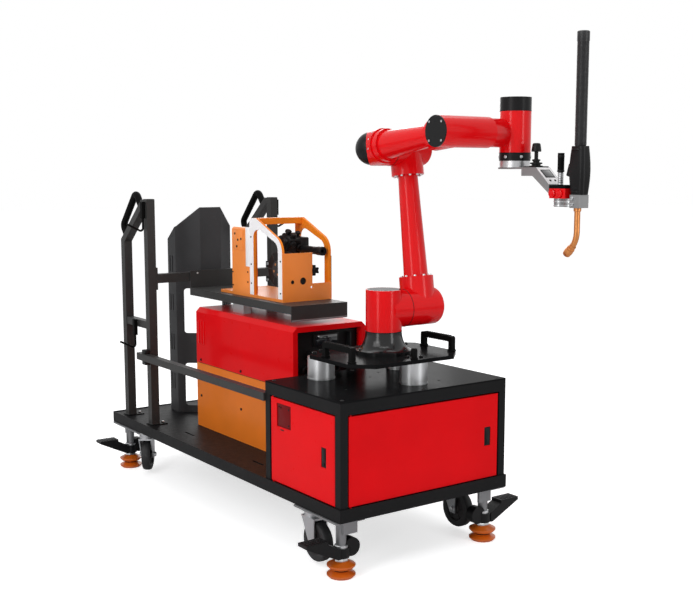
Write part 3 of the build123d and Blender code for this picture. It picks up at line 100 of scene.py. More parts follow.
room_light, seen_white, floor_glow = 0.42, 1.0, 0.62
world = bpy.data.worlds.new("studio")
scene.world = world
world.use_nodes = True
sky_nodes, sky_links = world.node_tree.nodes, world.node_tree.links
sky = sky_nodes["Background"]
sky.inputs["Color"].default_value = (1.0, 1.0, 1.0, 1.0)
path = sky_nodes.new("ShaderNodeLightPath")
seen, clear = math_node(world.node_tree, "MAXIMUM"), math_node(world.node_tree, "MAXIMUM")
level = sky_nodes.new("ShaderNodeMapRange")
level.inputs["To Min"].default_value = room_light
level.inputs["To Max"].default_value = seen_white
sky_links.new(path.outputs["Is Camera Ray"], seen.inputs[0])
sky_links.new(path.outputs["Is Glossy Ray"], seen.inputs[1])
sky_links.new(seen.outputs[0], clear.inputs[0])
sky_links.new(path.outputs["Is Transmission Ray"], clear.inputs[1])
sky_links.new(clear.outputs[0], level.inputs["Value"])
sky_links.new(level.outputs["Result"], sky.inputs["Strength"])

floor_mesh = bmesh.new()
bmesh.ops.create_grid(floor_mesh, x_segments=2, y_segments=2, size=30.0)
floor_data = bpy.data.meshes.new("studio_floor")
floor_mesh.to_mesh(floor_data)
floor_mesh.free()
studio_floor = bpy.data.objects.new("studio_floor", floor_data)
scene.collection.objects.link(studio_floor)
floor_paper = bpy.data.materials.new("floor_paper")
floor_paper.use_nodes = True
paper_nodes, paper_links = floor_paper.node_tree.nodes, floor_paper.node_tree.links
paper = paper_nodes["Principled BSDF"]
paper.inputs["Base Color"].default_value = (0.86, 0.86, 0.87, 1.0)
paper.inputs["Roughness"].default_value = 0.9
paper.inputs["Emission Color"].default_value = (1.0, 1.0, 1.0, 1.0)
floor_path = paper_nodes.new("ShaderNodeLightPath")
floor_seen = math_node(floor_paper.node_tree, "MULTIPLY", floor_glow)
paper_links.new(floor_path.outputs["Is Camera Ray"], floor_seen.inputs[0])
paper_links.new(floor_seen.outputs[0], paper.inputs["Emission Strength"])
floor_data.materials.append(floor_paper)


# The deck tray. Folded and welded steel sheet with a raised rim, in a fine-grained black powder coat that is
# scuffed a little lighter. The posts stand on it in bolted foot plates.
def socket(group, name, direction, kind, value=None):
    made = group.interface.new_socket(name=name, in_out=direction, socket_type=kind)
    if value is not None:
        made.default_value = value


coat_skin = bpy.data.node_groups.new("coat_skin", "ShaderNodeTree")
for name in ("Colour", "Scuff Colour"):
    socket(coat_skin, name, "INPUT", "NodeSocketColor", (0.5, 0.5, 0.5, 1.0))
for name, value in (("Shade", 0.1), ("Scuff", 0.2), ("Grain", 900.0), ("Roughness", 0.4), ("Spread", 0.1)):
    socket(coat_skin, name, "INPUT", "NodeSocketFloat", value)
socket(coat_skin, "Colour", "OUTPUT", "NodeSocketColor")
for name in ("Roughness", "Height"):
    socket(coat_skin, name, "OUTPUT", "NodeSocketFloat")


def noise_node(tree, where, settings):
    """A Noise texture that lies on the piece's own coordinates."""
    node = tree.nodes.new("ShaderNodeTexNoise")
    for key, value in settings.items():
        node.inputs[key].default_value = value
    tree.links.new(where.outputs["Object"], node.inputs["Vector"])
    return node


def fill_coat_skin(tree):
    nodes, links = tree.nodes, tree.links
    given, out = nodes.new("NodeGroupInput"), nodes.new("NodeGroupOutput")
    where = nodes.new("ShaderNodeTexCoord")
    patches = noise_node(tree, where, {"Scale": 7.0, "Detail": 4.0})
    streaks = noise_node(tree, where, {"Scale": 46.0, "Detail": 5.0, "Roughness": 0.65})
    fine = noise_node(tree, where, {"Detail": 2.0})
    links.new(given.outputs["Grain"], fine.inputs["Scale"])
    # Broad patches darken and lighten the colour.
    centred = math_node(tree, "SUBTRACT", 0.5)
    links.new(patches.outputs["Fac"], centred.inputs[0])
    shade = math_node(tree, "MULTIPLY_ADD")
    shade.inputs[2].default_value = 1.0
    links.new(centred.outputs[0], shade.inputs[0])
    links.new(given.outputs["Shade"], shade.inputs[1])
    tinted = nodes.new("ShaderNodeVectorMath")
    tinted.operation = "SCALE"
    links.new(given.outputs["Colour"], tinted.inputs[0])
    links.new(shade.outputs[0], tinted.inputs["Scale"])
    # Small scuffs show where the finer noise peaks.
    peaks = nodes.new("ShaderNodeMapRange")
    peaks.inputs["From Min"].default_value = 0.62
    peaks.inputs["From Max"].default_value = 0.78
    links.new(streaks.outputs["Fac"], peaks.inputs["Value"])
    scuffed = math_node(tree, "MULTIPLY")
    links.new(peaks.outputs["Result"], scuffed.inputs[0])
    links.new(given.outputs["Scuff"], scuffed.inputs[1])
    mixed = nodes.new("ShaderNodeMix")
    mixed.data_type = "RGBA"
    links.new(scuffed.outputs[0], mixed.inputs["Factor"])
    links.new(tinted.outputs["Vector"], mixed.inputs["A"])
    links.new(given.outputs["Scuff Colour"], mixed.inputs["B"])
    links.new(mixed.outputs["Result"], out.inputs["Colour"])
    rough = math_node(tree, "MULTIPLY_ADD")
    links.new(streaks.outputs["Fac"], rough.inputs[0])
    links.new(given.outputs["Spread"], rough.inputs[1])
    links.new(given.outputs["Roughness"], rough.inputs[2])
    links.new(rough.outputs[0], out.inputs["Roughness"])
    links.new(fine.outputs["Fac"], out.inputs["Height"])


fill_coat_skin(coat_skin)


def coated(name, colour, scuff_colour, skin, bump, finish):
    """A coated, cast or moulded finish: the skin's shade, scuff, grain, roughness and spread, the bump in
    metres and the shader's own values."""
    material = bpy.data.materials.new(name)
    material.use_nodes = True
    nodes, links = material.node_tree.nodes, material.node_tree.links
    shader = nodes["Principled BSDF"]
    layer = nodes.new("ShaderNodeGroup")
    layer.node_tree = coat_skin
    layer.inputs["Colour"].default_value = (*colour, 1.0)
    layer.inputs["Scuff Colour"].default_value = (*scuff_colour, 1.0)
    for key, value in zip(("Shade", "Scuff", "Grain", "Roughness", "Spread"), skin):
        layer.inputs[key].default_value = value
    relief = nodes.new("ShaderNodeBump")
    relief.inputs["Strength"].default_value = 0.6
    relief.inputs["Distance"].default_value = bump
    links.new(layer.outputs["Height"], relief.inputs["Height"])
    links.new(layer.outputs["Colour"], shader.inputs["Base Color"])
    links.new(layer.outputs["Roughness"], shader.inputs["Roughness"])
    links.new(relief.outputs["Normal"], shader.inputs["Normal"])
    for key, value in finish.items():
        shader.inputs[key].default_value = value
    return material


def dress(material, *nodes):
    """Gives CAD nodes their finish."""
    for node in nodes:
        for place in frame["nodes"][node].material_slots:
            place.material = material


def round_edges(shape, edges, offset, segments):
    bmesh.ops.bevel(shape, geom=edges, offset=offset, segments=segments, profile=0.5, affect="EDGES",
                    material=-1)


def rounded_slab(size, edge, segments=2):
    """A block about the origin with all its edges rounded."""
    shape = bmesh.new()
    bmesh.ops.create_cube(shape, size=1.0)
    bmesh.ops.scale(shape, vec=size, verts=shape.verts)
    round_edges(shape, shape.edges[:], edge, segments)
    return shape


def at(x, y, z):
    """The place of a shape that stands unturned."""
    return Matrix.Translation((x, y, z))


def put(whole, shape, place):
    """Moves a shape to its place and adds it to a piece's mesh."""
    bmesh.ops.transform(shape, matrix=place, verts=shape.verts)
    held = bpy.data.meshes.new("held")
    shape.to_mesh(held)
    shape.free()
    whole.from_mesh(held)
    bpy.data.meshes.remove(held)


def put_slab(whole, low, high, edge):
    """A rounded block between two corners."""
    low, high = Vector(low), Vector(high)
    put(whole, rounded_slab(high - low, edge), Matrix.Translation((low + high) / 2))


def piece(name, whole, material, body, slot, *stands_for):
    """Finishes a piece: smooth faces with sharp corners, its finish, its body and the nodes it stands for."""
    data = bpy.data.meshes.new(name)
    whole.to_mesh(data)
    whole.free()
    data.shade_smooth()
    data.set_sharp_from_angle(angle=math.radians(35))
    data.materials.append(material)
    made = bpy.data.objects.new(name, data)
    scene.collection.objects.link(made)
    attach(made, body)
    if stands_for:
        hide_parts(*stands_for)


def hex_head(radius, height):
    """A hexagon bolt's head with a turned top."""
    shape = bmesh.new()
    bmesh.ops.create_cone(shape, cap_ends=True, segments=6, radius1=radius, radius2=radius, depth=height)
    bmesh.ops.translate(shape, vec=(0, 0, height / 2), verts=shape.verts)
    rim = [edge for edge in shape.edges if all(vert.co.z > height * 0.9 for vert in edge.verts)]
    round_edges(shape, rim, height * 0.22, 2)
    return shape


black_powder = coated(
    "black_powder_coat", (0.010, 0.010, 0.0105), (0.04, 0.04, 0.042),
    (0.5, 0.25, 1500.0, 0.32, 0.22), 0.00012,
    {"Specular IOR Level": 0.15, "IOR": 1.3})
dress(black_powder, "deck_tray")
zinc_bolt = coated(
    "zinc_bolt", (0.55, 0.56, 0.57), (0.3, 0.3, 0.31),
    (0.3, 0.4, 700.0, 0.22, 0.2), 0.00005,
    {"Metallic": 1.0})
left_low, left_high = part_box("push_frame_left")
right_low, right_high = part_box("push_frame_right")
post_half = 0.016
post_xs = (left_low.x + post_half, left_high.x - post_half)
post_ys = ((left_low.y + left_high.y) / 2, (right_low.y + right_high.y) / 2)
deck_floor = left_low.z
foot_half_x, foot_half_y, foot_thick = 0.024, 0.034, 0.004
foot_shift, foot_bolt_shift = 0.012, 0.025
foot_plates, foot_bolts = bmesh.new(), bmesh.new()
for x in post_xs:
    for y, inward in zip(post_ys, (1, -1)):
        middle = y + inward * foot_shift
        put_slab(foot_plates, (x - foot_half_x, middle - foot_half_y, deck_floor),
                 (x + foot_half_x, middle + foot_half_y, deck_floor + foot_thick), 0.0008)
        put(foot_bolts, hex_head(0.006, 0.005),
            at(x, middle + inward * foot_bolt_shift, deck_floor + foot_thick))
piece("post_foot_plates", foot_plates, black_powder, "cart", "black_coat")
piece("post_foot_bolts", foot_bolts, zinc_bolt, "cart", "galvanised")


# The levelling casters. A grey cast leg on a bolted top plate carries a double orange pad, and a moulded
# black pedal with a ribbed tread lowers it. Beside it a galvanised fork with its wheel turns on a ball race.
grey_casting = coated(
    "grey_casting", (0.20, 0.203, 0.21), (0.34, 0.34, 0.35),
    (0.4, 0.35, 600.0, 0.34, 0.2), 0.0002,
    {"Metallic": 0.6})
pad_rubber = coated(
    "orange_pad", (0.58, 0.11, 0.004), (0.35, 0.08, 0.008),
    (0.5, 0.3, 800.0, 0.26, 0.2), 0.0001,
    {"Coat Weight": 0.3, "Coat Roughness": 0.2})
moulded_black = coated(
    "moulded_black", (0.007, 0.007, 0.0075), (0.028, 0.028, 0.03),
    (0.4, 0.3, 1300.0, 0.3, 0.2), 0.00015,
    {"Specular IOR Level": 0.28, "IOR": 1.35})
fork_zinc = coated(
    "galvanised_fork", (0.43, 0.437, 0.45), (0.27, 0.275, 0.285),
    (0.45, 0.5, 320.0, 0.26, 0.24), 0.00008,
    {"Metallic": 0.9})
tyre_rubber = coated(
    "wheel_rubber", (0.013, 0.013, 0.014), (0.05, 0.048, 0.046),
    (0.5, 0.45, 1000.0, 0.5, 0.2), 0.0002,
    {"Specular IOR Level": 0.4})
hub_plastic = coated(
    "wheel_hub", (0.026, 0.024, 0.025), (0.07, 0.065, 0.065),
    (0.4, 0.4, 900.0, 0.4, 0.2), 0.0001,
    {"Specular IOR Level": 0.25})
dress(grey_casting, "caster_mounts")
dress(pad_rubber, "levelling_pads")
dress(moulded_black, "caster_pedals")
pad_places = {mount["name"].replace("floor_pad_", ""): Vector(mount["pos_m"])
              for mount in frame["record"]["mounts"] if mount["name"].startswith("floor_pad_")}
hinge = {joint["name"]: joint for joint in frame["joints"]}
plate_bottom = hinge["swivel_front_left"]["pos_m"][2]
pedal_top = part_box("caster_pedals")[1].z


def lathed(profile, steps):
    """A turned shape about +Z from points of radius and height."""
    shape = bmesh.new()
    verts = [shape.verts.new((radius, 0.0, height)) for radius, height in profile]
    edges = [shape.edges.new(pair) for pair in zip(verts, verts[1:])]
    bmesh.ops.spin(shape, geom=verts + edges, axis=(0, 0, 1), cent=(0, 0, 0), angle=math.tau,
                   steps=steps, use_merge=True)
    bmesh.ops.remove_doubles(shape, verts=shape.verts, dist=1e-6)
    bmesh.ops.recalc_face_normals(shape, faces=shape.faces)
    return shape


def aimed(place, direction):
    """The place of a shape whose +Z points in a direction."""
    return Matrix.Translation(place) @ Vector(direction).to_track_quat("Z", "Y").to_matrix().to_4x4()


def put_turned(whole, profile, steps, place):
    """A turned shape in its place."""
    put(whole, lathed(profile, steps), place)


def disc(radius, top_radius, height, steps):
    """A thin round plate that stands on the origin."""
    return lathed([(0.0, 0.0), (radius, 0.0), (top_radius, height), (0.0, height)], steps)


leg_nuts, tread_ribs, race_rings, plate_bolts = bmesh.new(), bmesh.new(), bmesh.new(), bmesh.new()
pad_waists = bmesh.new()
stem_r, nut_z, ring_z, flare_height = 0.0155, 0.0502, 0.0902, 0.009
waist_r, waist_core_r, waist_half, waist_z = 0.0252, 0.018, 0.0012, 0.0222
tread_start, tread_pitch, tread_half_x, tread_half_y = 0.072, 0.011, 0.020, 0.002
axle_half, washer_thick = 0.025, 0.0012
for corner, pad in pad_places.items():
    outward = math.copysign(1, pad.y)
    endward = math.copysign(1, pad.x - (deck_low.x + deck_high.x) / 2)
    put(leg_nuts, hex_head(0.021, 0.0085), at(pad.x, pad.y, nut_z))
    waist = [(waist_core_r, -waist_half), (waist_r, -waist_half), (waist_r, waist_half),
             (waist_core_r, waist_half), (waist_core_r, -waist_half)]
    put_turned(pad_waists, waist, 32, at(pad.x, pad.y, waist_z))
    put_turned(leg_nuts, [(stem_r, 0.0), (0.0205, 0.0), (0.0205, 0.006), (0.0185, 0.008), (stem_r, 0.008)],
               28, at(pad.x, pad.y, ring_z))
    put_turned(leg_nuts, [(stem_r, 0.0), (0.019, 0.0), (0.024, 0.006), (0.024, flare_height),
                          (stem_r, flare_height)], 28, at(pad.x, pad.y, plate_bottom - flare_height))
    for step in range(6):
        y = pad.y + outward * (tread_start + tread_pitch * step)
        put_slab(tread_ribs, (pad.x - tread_half_x, y - tread_half_y, pedal_top - 0.0005),
                 (pad.x + tread_half_x, y + tread_half_y, pedal_top + 0.0018), 0.0006)
    swivel = Vector(hinge["swivel_" + corner]["pos_m"])
    roll = Vector(hinge["roll_" + corner]["pos_m"])
    axle = Vector(hinge["roll_" + corner]["axis"])
    put_turned(race_rings, [(0.0265, -0.010), (0.0345, -0.010), (0.037, -0.007), (0.037, -0.003),
                            (0.033, 0.0), (0.0265, 0.0)], 36, Matrix.Translation(swivel))
    for along in (0.034, -0.162):
        for side in (-0.036, 0.036):
            spot = Vector((pad.x + endward * along, pad.y + side, plate_bottom))
            put(plate_bolts, hex_head(0.0065, 0.005), aimed(spot, (0, 0, -1)))
    # The fork's axle bolt and nut.
    axle_ends = bmesh.new()
    for way in (-1, 1):
        put(axle_ends, disc(0.0115, 0.0115, washer_thick, 24),
            aimed(roll + axle * way * axle_half, axle * way))
        put(axle_ends, hex_head(0.0088, 0.0065),
            aimed(roll + axle * way * (axle_half + washer_thick), axle * way))
    piece("axle_bolt_" + corner, axle_ends, zinc_bolt, "fork_" + corner, "galvanised")
    dress(fork_zinc, "caster_fork_" + corner)
    # The wheel: a rubber tyre moulded on a dished hub.
    tyre = lathed([(0.0445, -0.0150), (0.0545, -0.0160), (0.0595, -0.0145), (0.0620, -0.0100),
                   (0.0625, -0.0035), (0.0625, 0.0035), (0.0620, 0.0100), (0.0595, 0.0145),
                   (0.0545, 0.0160), (0.0445, 0.0150), (0.0440, 0.0), (0.0445, -0.0150)], 64)
    rolled = bmesh.new()
    put(rolled, tyre, aimed(roll, axle))
    piece("tyre_" + corner, rolled, tyre_rubber, "wheel_" + corner, "black_rubber", "caster_wheel_" + corner)
    dish = lathed([(0.0062, -0.0158), (0.0145, -0.0158), (0.0165, -0.0140), (0.0180, -0.0095),
                   (0.0390, -0.0085), (0.0425, -0.0140), (0.0446, -0.0145), (0.0446, 0.0145),
                   (0.0425, 0.0140), (0.0390, 0.0085), (0.0180, 0.0095), (0.0165, 0.0140), (0.0145, 0.0158),
                   (0.0062, 0.0158), (0.0062, -0.0158)], 48)
    hub = bmesh.new()
    put(hub, dish, aimed(roll, axle))
    for spoke in range(6):
        for way in (-1, 1):
            rib = rounded_slab((0.022, 0.003, 0.004), 0.0006)
            bmesh.ops.translate(rib, vec=(0.0285, 0.0, way * 0.0092), verts=rib.verts)
            put(hub, rib, aimed(roll, axle) @ Matrix.Rotation(math.tau * spoke / 6, 4, "Z"))
    piece("wheel_hub_" + corner, hub, hub_plastic, "wheel_" + corner, "black_rubber")
piece("leg_nuts", leg_nuts, zinc_bolt, "cart", "galvanised")
piece("pad_waists", pad_waists, moulded_black, "cart", "black_plastic")
piece("pedal_tread_ribs", tread_ribs, moulded_black, "cart", "black_plastic")
piece("swivel_race_rings", race_rings, zinc_bolt, "cart", "galvanised")
piece("caster_plate_bolts", plate_bolts, zinc_bolt, "cart", "galvanised")


# The cabinet. A frame of square tube in black powder coat carries red enamelled doors and panels and a glossy
# black top. Black paddle latches are set in the doors' pockets, and the side door's pocket has a near-black
# red floor panel, painted shade standing for a deep recess.
red_enamel = coated(
    "red_enamel", (0.74, 0.003, 0.006), (0.56, 0.006, 0.010),
    (0.22, 0.12, 420.0, 0.24, 0.1), 0.00004,
    {"Specular IOR Level": 0.12, "IOR": 1.25, "Coat Weight": 0.12, "Coat Roughness": 0.06, "Coat IOR": 1.3})
# Painted shade: a near-black red for the floor of the side door's pocket, standing for the shade of a deep recess.
sunk_red = coated(
    "sunk_red", (0.13, 0.002, 0.003), (0.06, 0.003, 0.003),
    (0.6, 0.2, 500.0, 0.4, 0.15), 0.00005,
    {"Specular IOR Level": 0.1})
black_gloss = coated(
    "black_gloss_top", (0.009, 0.009, 0.0095), (0.035, 0.035, 0.037),
    (0.4, 0.15, 1500.0, 0.16, 0.12), 0.00003,
    {"IOR": 1.04})
# Near-black: painted shade inside the cabinet top's holes, and the colour of the dark seals, seams and port plugs.
dark_shade_and_seal = coated(
    "hole_shadow", (0.004, 0.004, 0.004), (0.01, 0.01, 0.01),
    (0.5, 0.2, 900.0, 0.6, 0.2), 0.00005,
    {"Specular IOR Level": 0.2})
dress(black_powder, "cabinet_frame")
dress(black_gloss, "cabinet_top")
dress(red_enamel, "cabinet_back_panel", "cabinet_side_panel", "side_door", "front_door")
top_low, top_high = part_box("cabinet_top")
top_screws, top_hole_shade = bmesh.new(), bmesh.new()
top_margin = 0.020
for x in (top_low.x + top_margin, top_high.x - top_margin):
    for y in (top_low.y + top_margin, 0.0, top_high.y - top_margin):
        put_turned(top_screws, [(0.0, 0.0), (0.0065, 0.0), (0.0058, 0.0012), (0.003, 0.0018),
                                (0.0026, 0.0008), (0.0, 0.0008)], 20, at(x, y, top_high.z))
# Thin near-black discs on the top plate: painted shade standing for its holes.
for x, y in ((0.30, 0.05), (0.35, -0.02), (0.30, -0.12), (0.52, 0.12), (0.47, -0.20), (0.55, -0.06)):
    put(top_hole_shade, disc(0.004, 0.0038, 0.0003, 16), at(x, y, top_high.z))
piece("cabinet_top_screws", top_screws, moulded_black, "cart", "black_plastic")
piece("cabinet_top_holes", top_hole_shade, dark_shade_and_seal, "cart", "black_plastic")

side_low, side_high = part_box("side_door")
front_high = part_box("front_door")[1]
door_middle = (side_low.z + side_high.z) / 2
latch_wide, latch_tall = 0.026, 0.060
side_latch_inset, front_latch_inset = 0.044, 0.029


def cap_screw(radius, height):
    """A socket screw's head, standing on the origin."""
    return lathed([(0.0, 0.0), (radius, 0.0), (radius, height * 0.8), (radius * 0.86, height),
                   (radius * 0.55, height), (radius * 0.5, height * 0.45), (0.0, height * 0.45)], 16)


def put_screw(whole, radius, height, place, direction):
    """A socket screw whose head stands out in a direction."""
    put(whole, cap_screw(radius, height), aimed(place, direction))


def latch(whole, centre, across, out):
    """A paddle latch in its pocket: a backing plate, the paddle and a key cylinder."""
    across, out, up = Vector(across), Vector(out), Vector((0, 0, 1))
    place = Matrix((across, up, out)).transposed().to_4x4()
    place.translation = centre
    put(whole, rounded_slab((latch_wide - 0.001, latch_tall - 0.001, 0.002), 0.0005),
        place @ at(0, 0, -0.002))
    put(whole, rounded_slab((latch_wide - 0.009, 0.038, 0.0022), 0.0009),
        place @ at(0, 0.008, -0.0002))
    put_turned(whole, [(0.0, 0.0), (0.006, 0.0), (0.006, 0.0022), (0.005, 0.003), (0.0018, 0.003),
                       (0.0018, 0.002), (0.0, 0.002)], 24, place @ at(0, -0.021, -0.0012))


side_latch, front_latch = bmesh.new(), bmesh.new()
side_latch_x = side_high.x - side_latch_inset - latch_wide / 2
front_latch_y = front_high.y - front_latch_inset - latch_wide / 2
latch(side_latch, Vector((side_latch_x, side_low.y, door_middle)), (1, 0, 0), (0, -1, 0))
latch(front_latch, Vector((front_high.x, front_latch_y, door_middle)), (0, 1, 0), (1, 0, 0))
piece("side_door_latch", side_latch, moulded_black, "side_door_leaf", "black_plastic")
piece("front_door_latch", front_latch, moulded_black, "front_door_leaf", "black_plastic")
# A dark red plate on the pocket's floor: painted shade in place of a deeper recess.
recess_shade = bmesh.new()
recess_x, recess_z, recess_y = side_low.x + 0.033, side_high.z - 0.019, side_low.y + 0.0016
recess_wide, recess_tall, recess_play = 0.080, 0.073, 0.0003
put_slab(recess_shade, (recess_x + recess_play, recess_y, recess_z - recess_tall + recess_play),
         (recess_x + recess_wide - recess_play, recess_y + 0.0018, recess_z - recess_play), 0.0003)
piece("side_door_sunk_panel", recess_shade, sunk_red, "side_door_leaf", "red_coat")
sunk_marks = bmesh.new()
for x, z in ((0.012, -0.010), (0.022, -0.012), (0.066, -0.062), (0.066, -0.012)):
    put_screw(sunk_marks, 0.0028, 0.0014, (recess_x + x, recess_y, recess_z + z), (0, -1, 0))
put_slab(sunk_marks, (recess_x + 0.020, side_low.y - 0.0004, recess_z - 0.083),
         (recess_x + 0.040, side_low.y + 0.0004, recess_z - 0.079), 0.0003)
piece("side_door_fixings", sunk_marks, moulded_black, "side_door_leaf", "black_plastic")


# The power source. A sheet steel case on the deck: orange below, with a red hood that hangs over a sunk black
# control face. The hood is screwed along its lower edge and louvred at the rear, where the fan blows out.
orange_paint = coated(
    "orange_paint", (0.80, 0.195, 0.018), (0.58, 0.13, 0.014),
    (0.3, 0.15, 600.0, 0.28, 0.12), 0.00005,
    {"Specular IOR Level": 0.2, "IOR": 1.3, "Coat Weight": 0.1, "Coat Roughness": 0.12, "Coat IOR": 1.3})
dress(orange_paint, "power_source_base")
dress(red_enamel, "power_source_cover")
dress(moulded_black, "power_source_face")
base_low, base_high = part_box("power_source_base")
hood_low, hood_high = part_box("power_source_cover")
face_low, face_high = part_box("power_source_face")
case_screws = bmesh.new()
hood_length = hood_high.x - hood_low.x
hood_screw_rise, base_screw_drop = 0.012, 0.126
for way, y in ((-1, hood_low.y), (1, hood_high.y)):
    for share in (0.05, 0.49, 0.93):
        x = hood_low.x + hood_length * share
        put_screw(case_screws, 0.005, 0.0025, (x, y, hood_low.z + hood_screw_rise), (0, way, 0))
        put_screw(case_screws, 0.005, 0.0025, (x, y, base_high.z - base_screw_drop), (0, way, 0))
piece("case_screws", case_screws, moulded_black, "cart", "black_plastic")
louvres = bmesh.new()
louvre_start, louvre_pitch, louvre_drop, louvre_turn = 0.020, 0.021, 0.092, 0.18
for way, y in ((-1, hood_low.y), (1, hood_high.y)):
    for step in range(3):
        x = hood_low.x + louvre_start + louvre_pitch * step
        blade = rounded_slab((0.011, 0.0045, 0.088), 0.0016)
        put(louvres, blade, at(x, y, hood_high.z - louvre_drop) @ Matrix.Rotation(louvre_turn * way, 4, "Z"))
piece("hood_louvres", louvres, red_enamel, "cart", "red_coat")
hood_seam = bmesh.new()
for way, y in ((-1, hood_low.y), (1, hood_high.y)):
    put_slab(hood_seam, (hood_low.x + 0.002, y - 0.0006, hood_low.z - 0.0008),
             (hood_high.x - 0.002, y + 0.0006, hood_low.z + 0.0008), 0.0003)
piece("hood_seam", hood_seam, dark_shade_and_seal, "cart", "black_plastic")
panel_x = face_low.x + 0.012
panel_parts, panel_glass, panel_metal = bmesh.new(), bmesh.new(), bmesh.new()
face_middle = (face_low.z + face_high.z) / 2
put_slab(panel_parts, (panel_x - 0.001, -0.052, face_high.z - 0.058),
         (panel_x + 0.006, 0.052, face_high.z - 0.014), 0.002)
put_slab(panel_glass, (panel_x + 0.0055, -0.044, face_high.z - 0.052),
         (panel_x + 0.0066, 0.044, face_high.z - 0.020), 0.0004)
put_slab(panel_parts, (panel_x - 0.001, 0.086, face_low.z + 0.014),
         (panel_x + 0.022, 0.092, face_high.z - 0.016), 0.001)
for y in (-0.065, 0.0, 0.065):
    put(panel_metal, disc(0.0105, 0.0095, 0.0014, 28), aimed((face_high.x, y, face_middle), (1, 0, 0)))
    mark = rounded_slab((0.0016, 0.014, 0.0012), 0.0003)
    put(panel_metal, mark, aimed((face_high.x + 0.0004, y, face_middle + 0.008), (1, 0, 0)))
for y in (-0.085, -0.040, 0.040):
    put_turned(panel_parts, [(0.009, 0.0), (0.016, 0.0), (0.016, 0.010), (0.0145, 0.012), (0.0105, 0.012),
                             (0.009, 0.004), (0.009, 0.0)], 28,
               aimed((panel_x - 0.0005, y, face_low.z + 0.036), (1, 0, 0)))
piece("panel_parts", panel_parts, moulded_black, "cart", "black_plastic")
screen_glass = coated(
    "screen_glass", (0.012, 0.014, 0.018), (0.03, 0.035, 0.045),
    (0.5, 0.2, 300.0, 0.05, 0.06), 0.00001,
    {"Coat Weight": 1.0, "Coat Roughness": 0.03})
piece("panel_display", panel_glass, screen_glass, "cart", "black_plastic")
piece("panel_dial_marks", panel_metal, zinc_bolt, "cart", "silver_metal")
# The rear: a fan behind a wire guard, the mains switch and two glands.
fan_guard, rear_parts = bmesh.new(), bmesh.new()
fan = Vector((base_low.x, 0.0, base_high.z - 0.120))
wire_r, wire_rise, fan_spoke_turn = 0.0016, 0.004, 0.39
for radius in (0.022, 0.040, 0.058, 0.076):
    wire = [(radius - wire_r, wire_rise), (radius, wire_rise - wire_r), (radius + wire_r, wire_rise),
            (radius, wire_rise + wire_r), (radius - wire_r, wire_rise)]
    put_turned(fan_guard, wire, 40, aimed(fan, (-1, 0, 0)))
for spoke in range(4):
    bar = rounded_slab((0.158, 0.003, 0.0024), 0.0008)
    spoke_turn = Matrix.Rotation(math.pi * spoke / 4 + fan_spoke_turn, 4, "Z")
    put(fan_guard, bar, aimed(fan + Vector((-0.0026, 0, 0)), (-1, 0, 0)) @ spoke_turn)
put(rear_parts, disc(0.081, 0.081, 0.001, 48), aimed(fan, (-1, 0, 0)))
put_slab(rear_parts, (hood_low.x - 0.006, -0.100, hood_low.z + 0.060),
         (hood_low.x, -0.060, hood_low.z + 0.110), 0.0015)
for y in (0.050, 0.092):
    put_turned(rear_parts, [(0.0, 0.0), (0.016, 0.0), (0.016, 0.006), (0.012, 0.008), (0.012, 0.022),
                            (0.009, 0.025), (0.0, 0.025)], 24,
               aimed((hood_low.x, y, hood_low.z + 0.070), (-1, 0, 0)))
piece("fan_guard", fan_guard, zinc_bolt, "cart", "galvanised")
piece("rear_switch_and_glands", rear_parts, moulded_black, "cart", "black_plastic")


# The feeder tray. A folded sheet table in black powder coat, set on two aluminium blocks and bolted by its
# back plate to the cross rail. The screw heads at the back plate are bare metal, and a grey strip on the
# front hem is a painted highlight on the black coat.
bright_metal = coated(
    "brushed_aluminium", (0.56, 0.565, 0.575), (0.42, 0.42, 0.43),
    (0.18, 0.35, 260.0, 0.24, 0.2), 0.00004,
    {"Metallic": 0.95})
frame_powder = coated(
    "frame_powder_coat", (0.030, 0.0295, 0.029), (0.085, 0.085, 0.085),
    (0.5, 0.25, 1500.0, 0.32, 0.22), 0.00012,
    {"Specular IOR Level": 0.3, "IOR": 1.4})
dress(frame_powder, "feeder_tray", "cross_rail")
dress(bright_metal, "tray_spacers")
tray_low, tray_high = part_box("feeder_tray")
rail_low, rail_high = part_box("cross_rail")
tray_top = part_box("feeder_base")[0].z
tray_screws = bmesh.new()
for y in (tray_low.y + 0.030, tray_high.y - 0.030):
    put_screw(tray_screws, 0.0034, 0.002, (tray_low.x + 0.006, y, tray_high.z - 0.010), (1, 0, 0))
for y, way in ((rail_low.y + 0.006, 1), (rail_high.y - 0.006, -1)):
    for z in (rail_low.z + 0.010, rail_high.z - 0.010):
        put(tray_screws, hex_head(0.0065, 0.005), aimed(((rail_low.x + rail_high.x) / 2, y, z), (0, way, 0)))
piece("tray_and_rail_screws", tray_screws, zinc_bolt, "cart", "galvanised")
# A grey strip along the black tray's front hem: a painted highlight for its bright edge.
tray_hem_highlight = bmesh.new()
put_slab(tray_hem_highlight, (tray_high.x - 0.0034, tray_low.y + 0.001, tray_low.z - 0.0002),
         (tray_high.x + 0.0002, tray_high.y - 0.001, tray_low.z + 0.006), 0.0008)
piece("tray_front_hem", tray_hem_highlight, grey_casting, "cart", "black_coat")


# The wire feeder. Two bent arches with a bar across, the near one white on its face, stand on an orange base
# with a sheet front and a closed box behind. The black drive unit feeds the wire out through its tube.
arch_low, arch_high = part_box("feeder_frame")
arch_paint = coated(
    "arch_paint", (0.88, 0.24, 0.016), (0.62, 0.15, 0.014),
    (0.3, 0.15, 600.0, 0.28, 0.12), 0.00005,
    {"Specular IOR Level": 0.2, "IOR": 1.3})


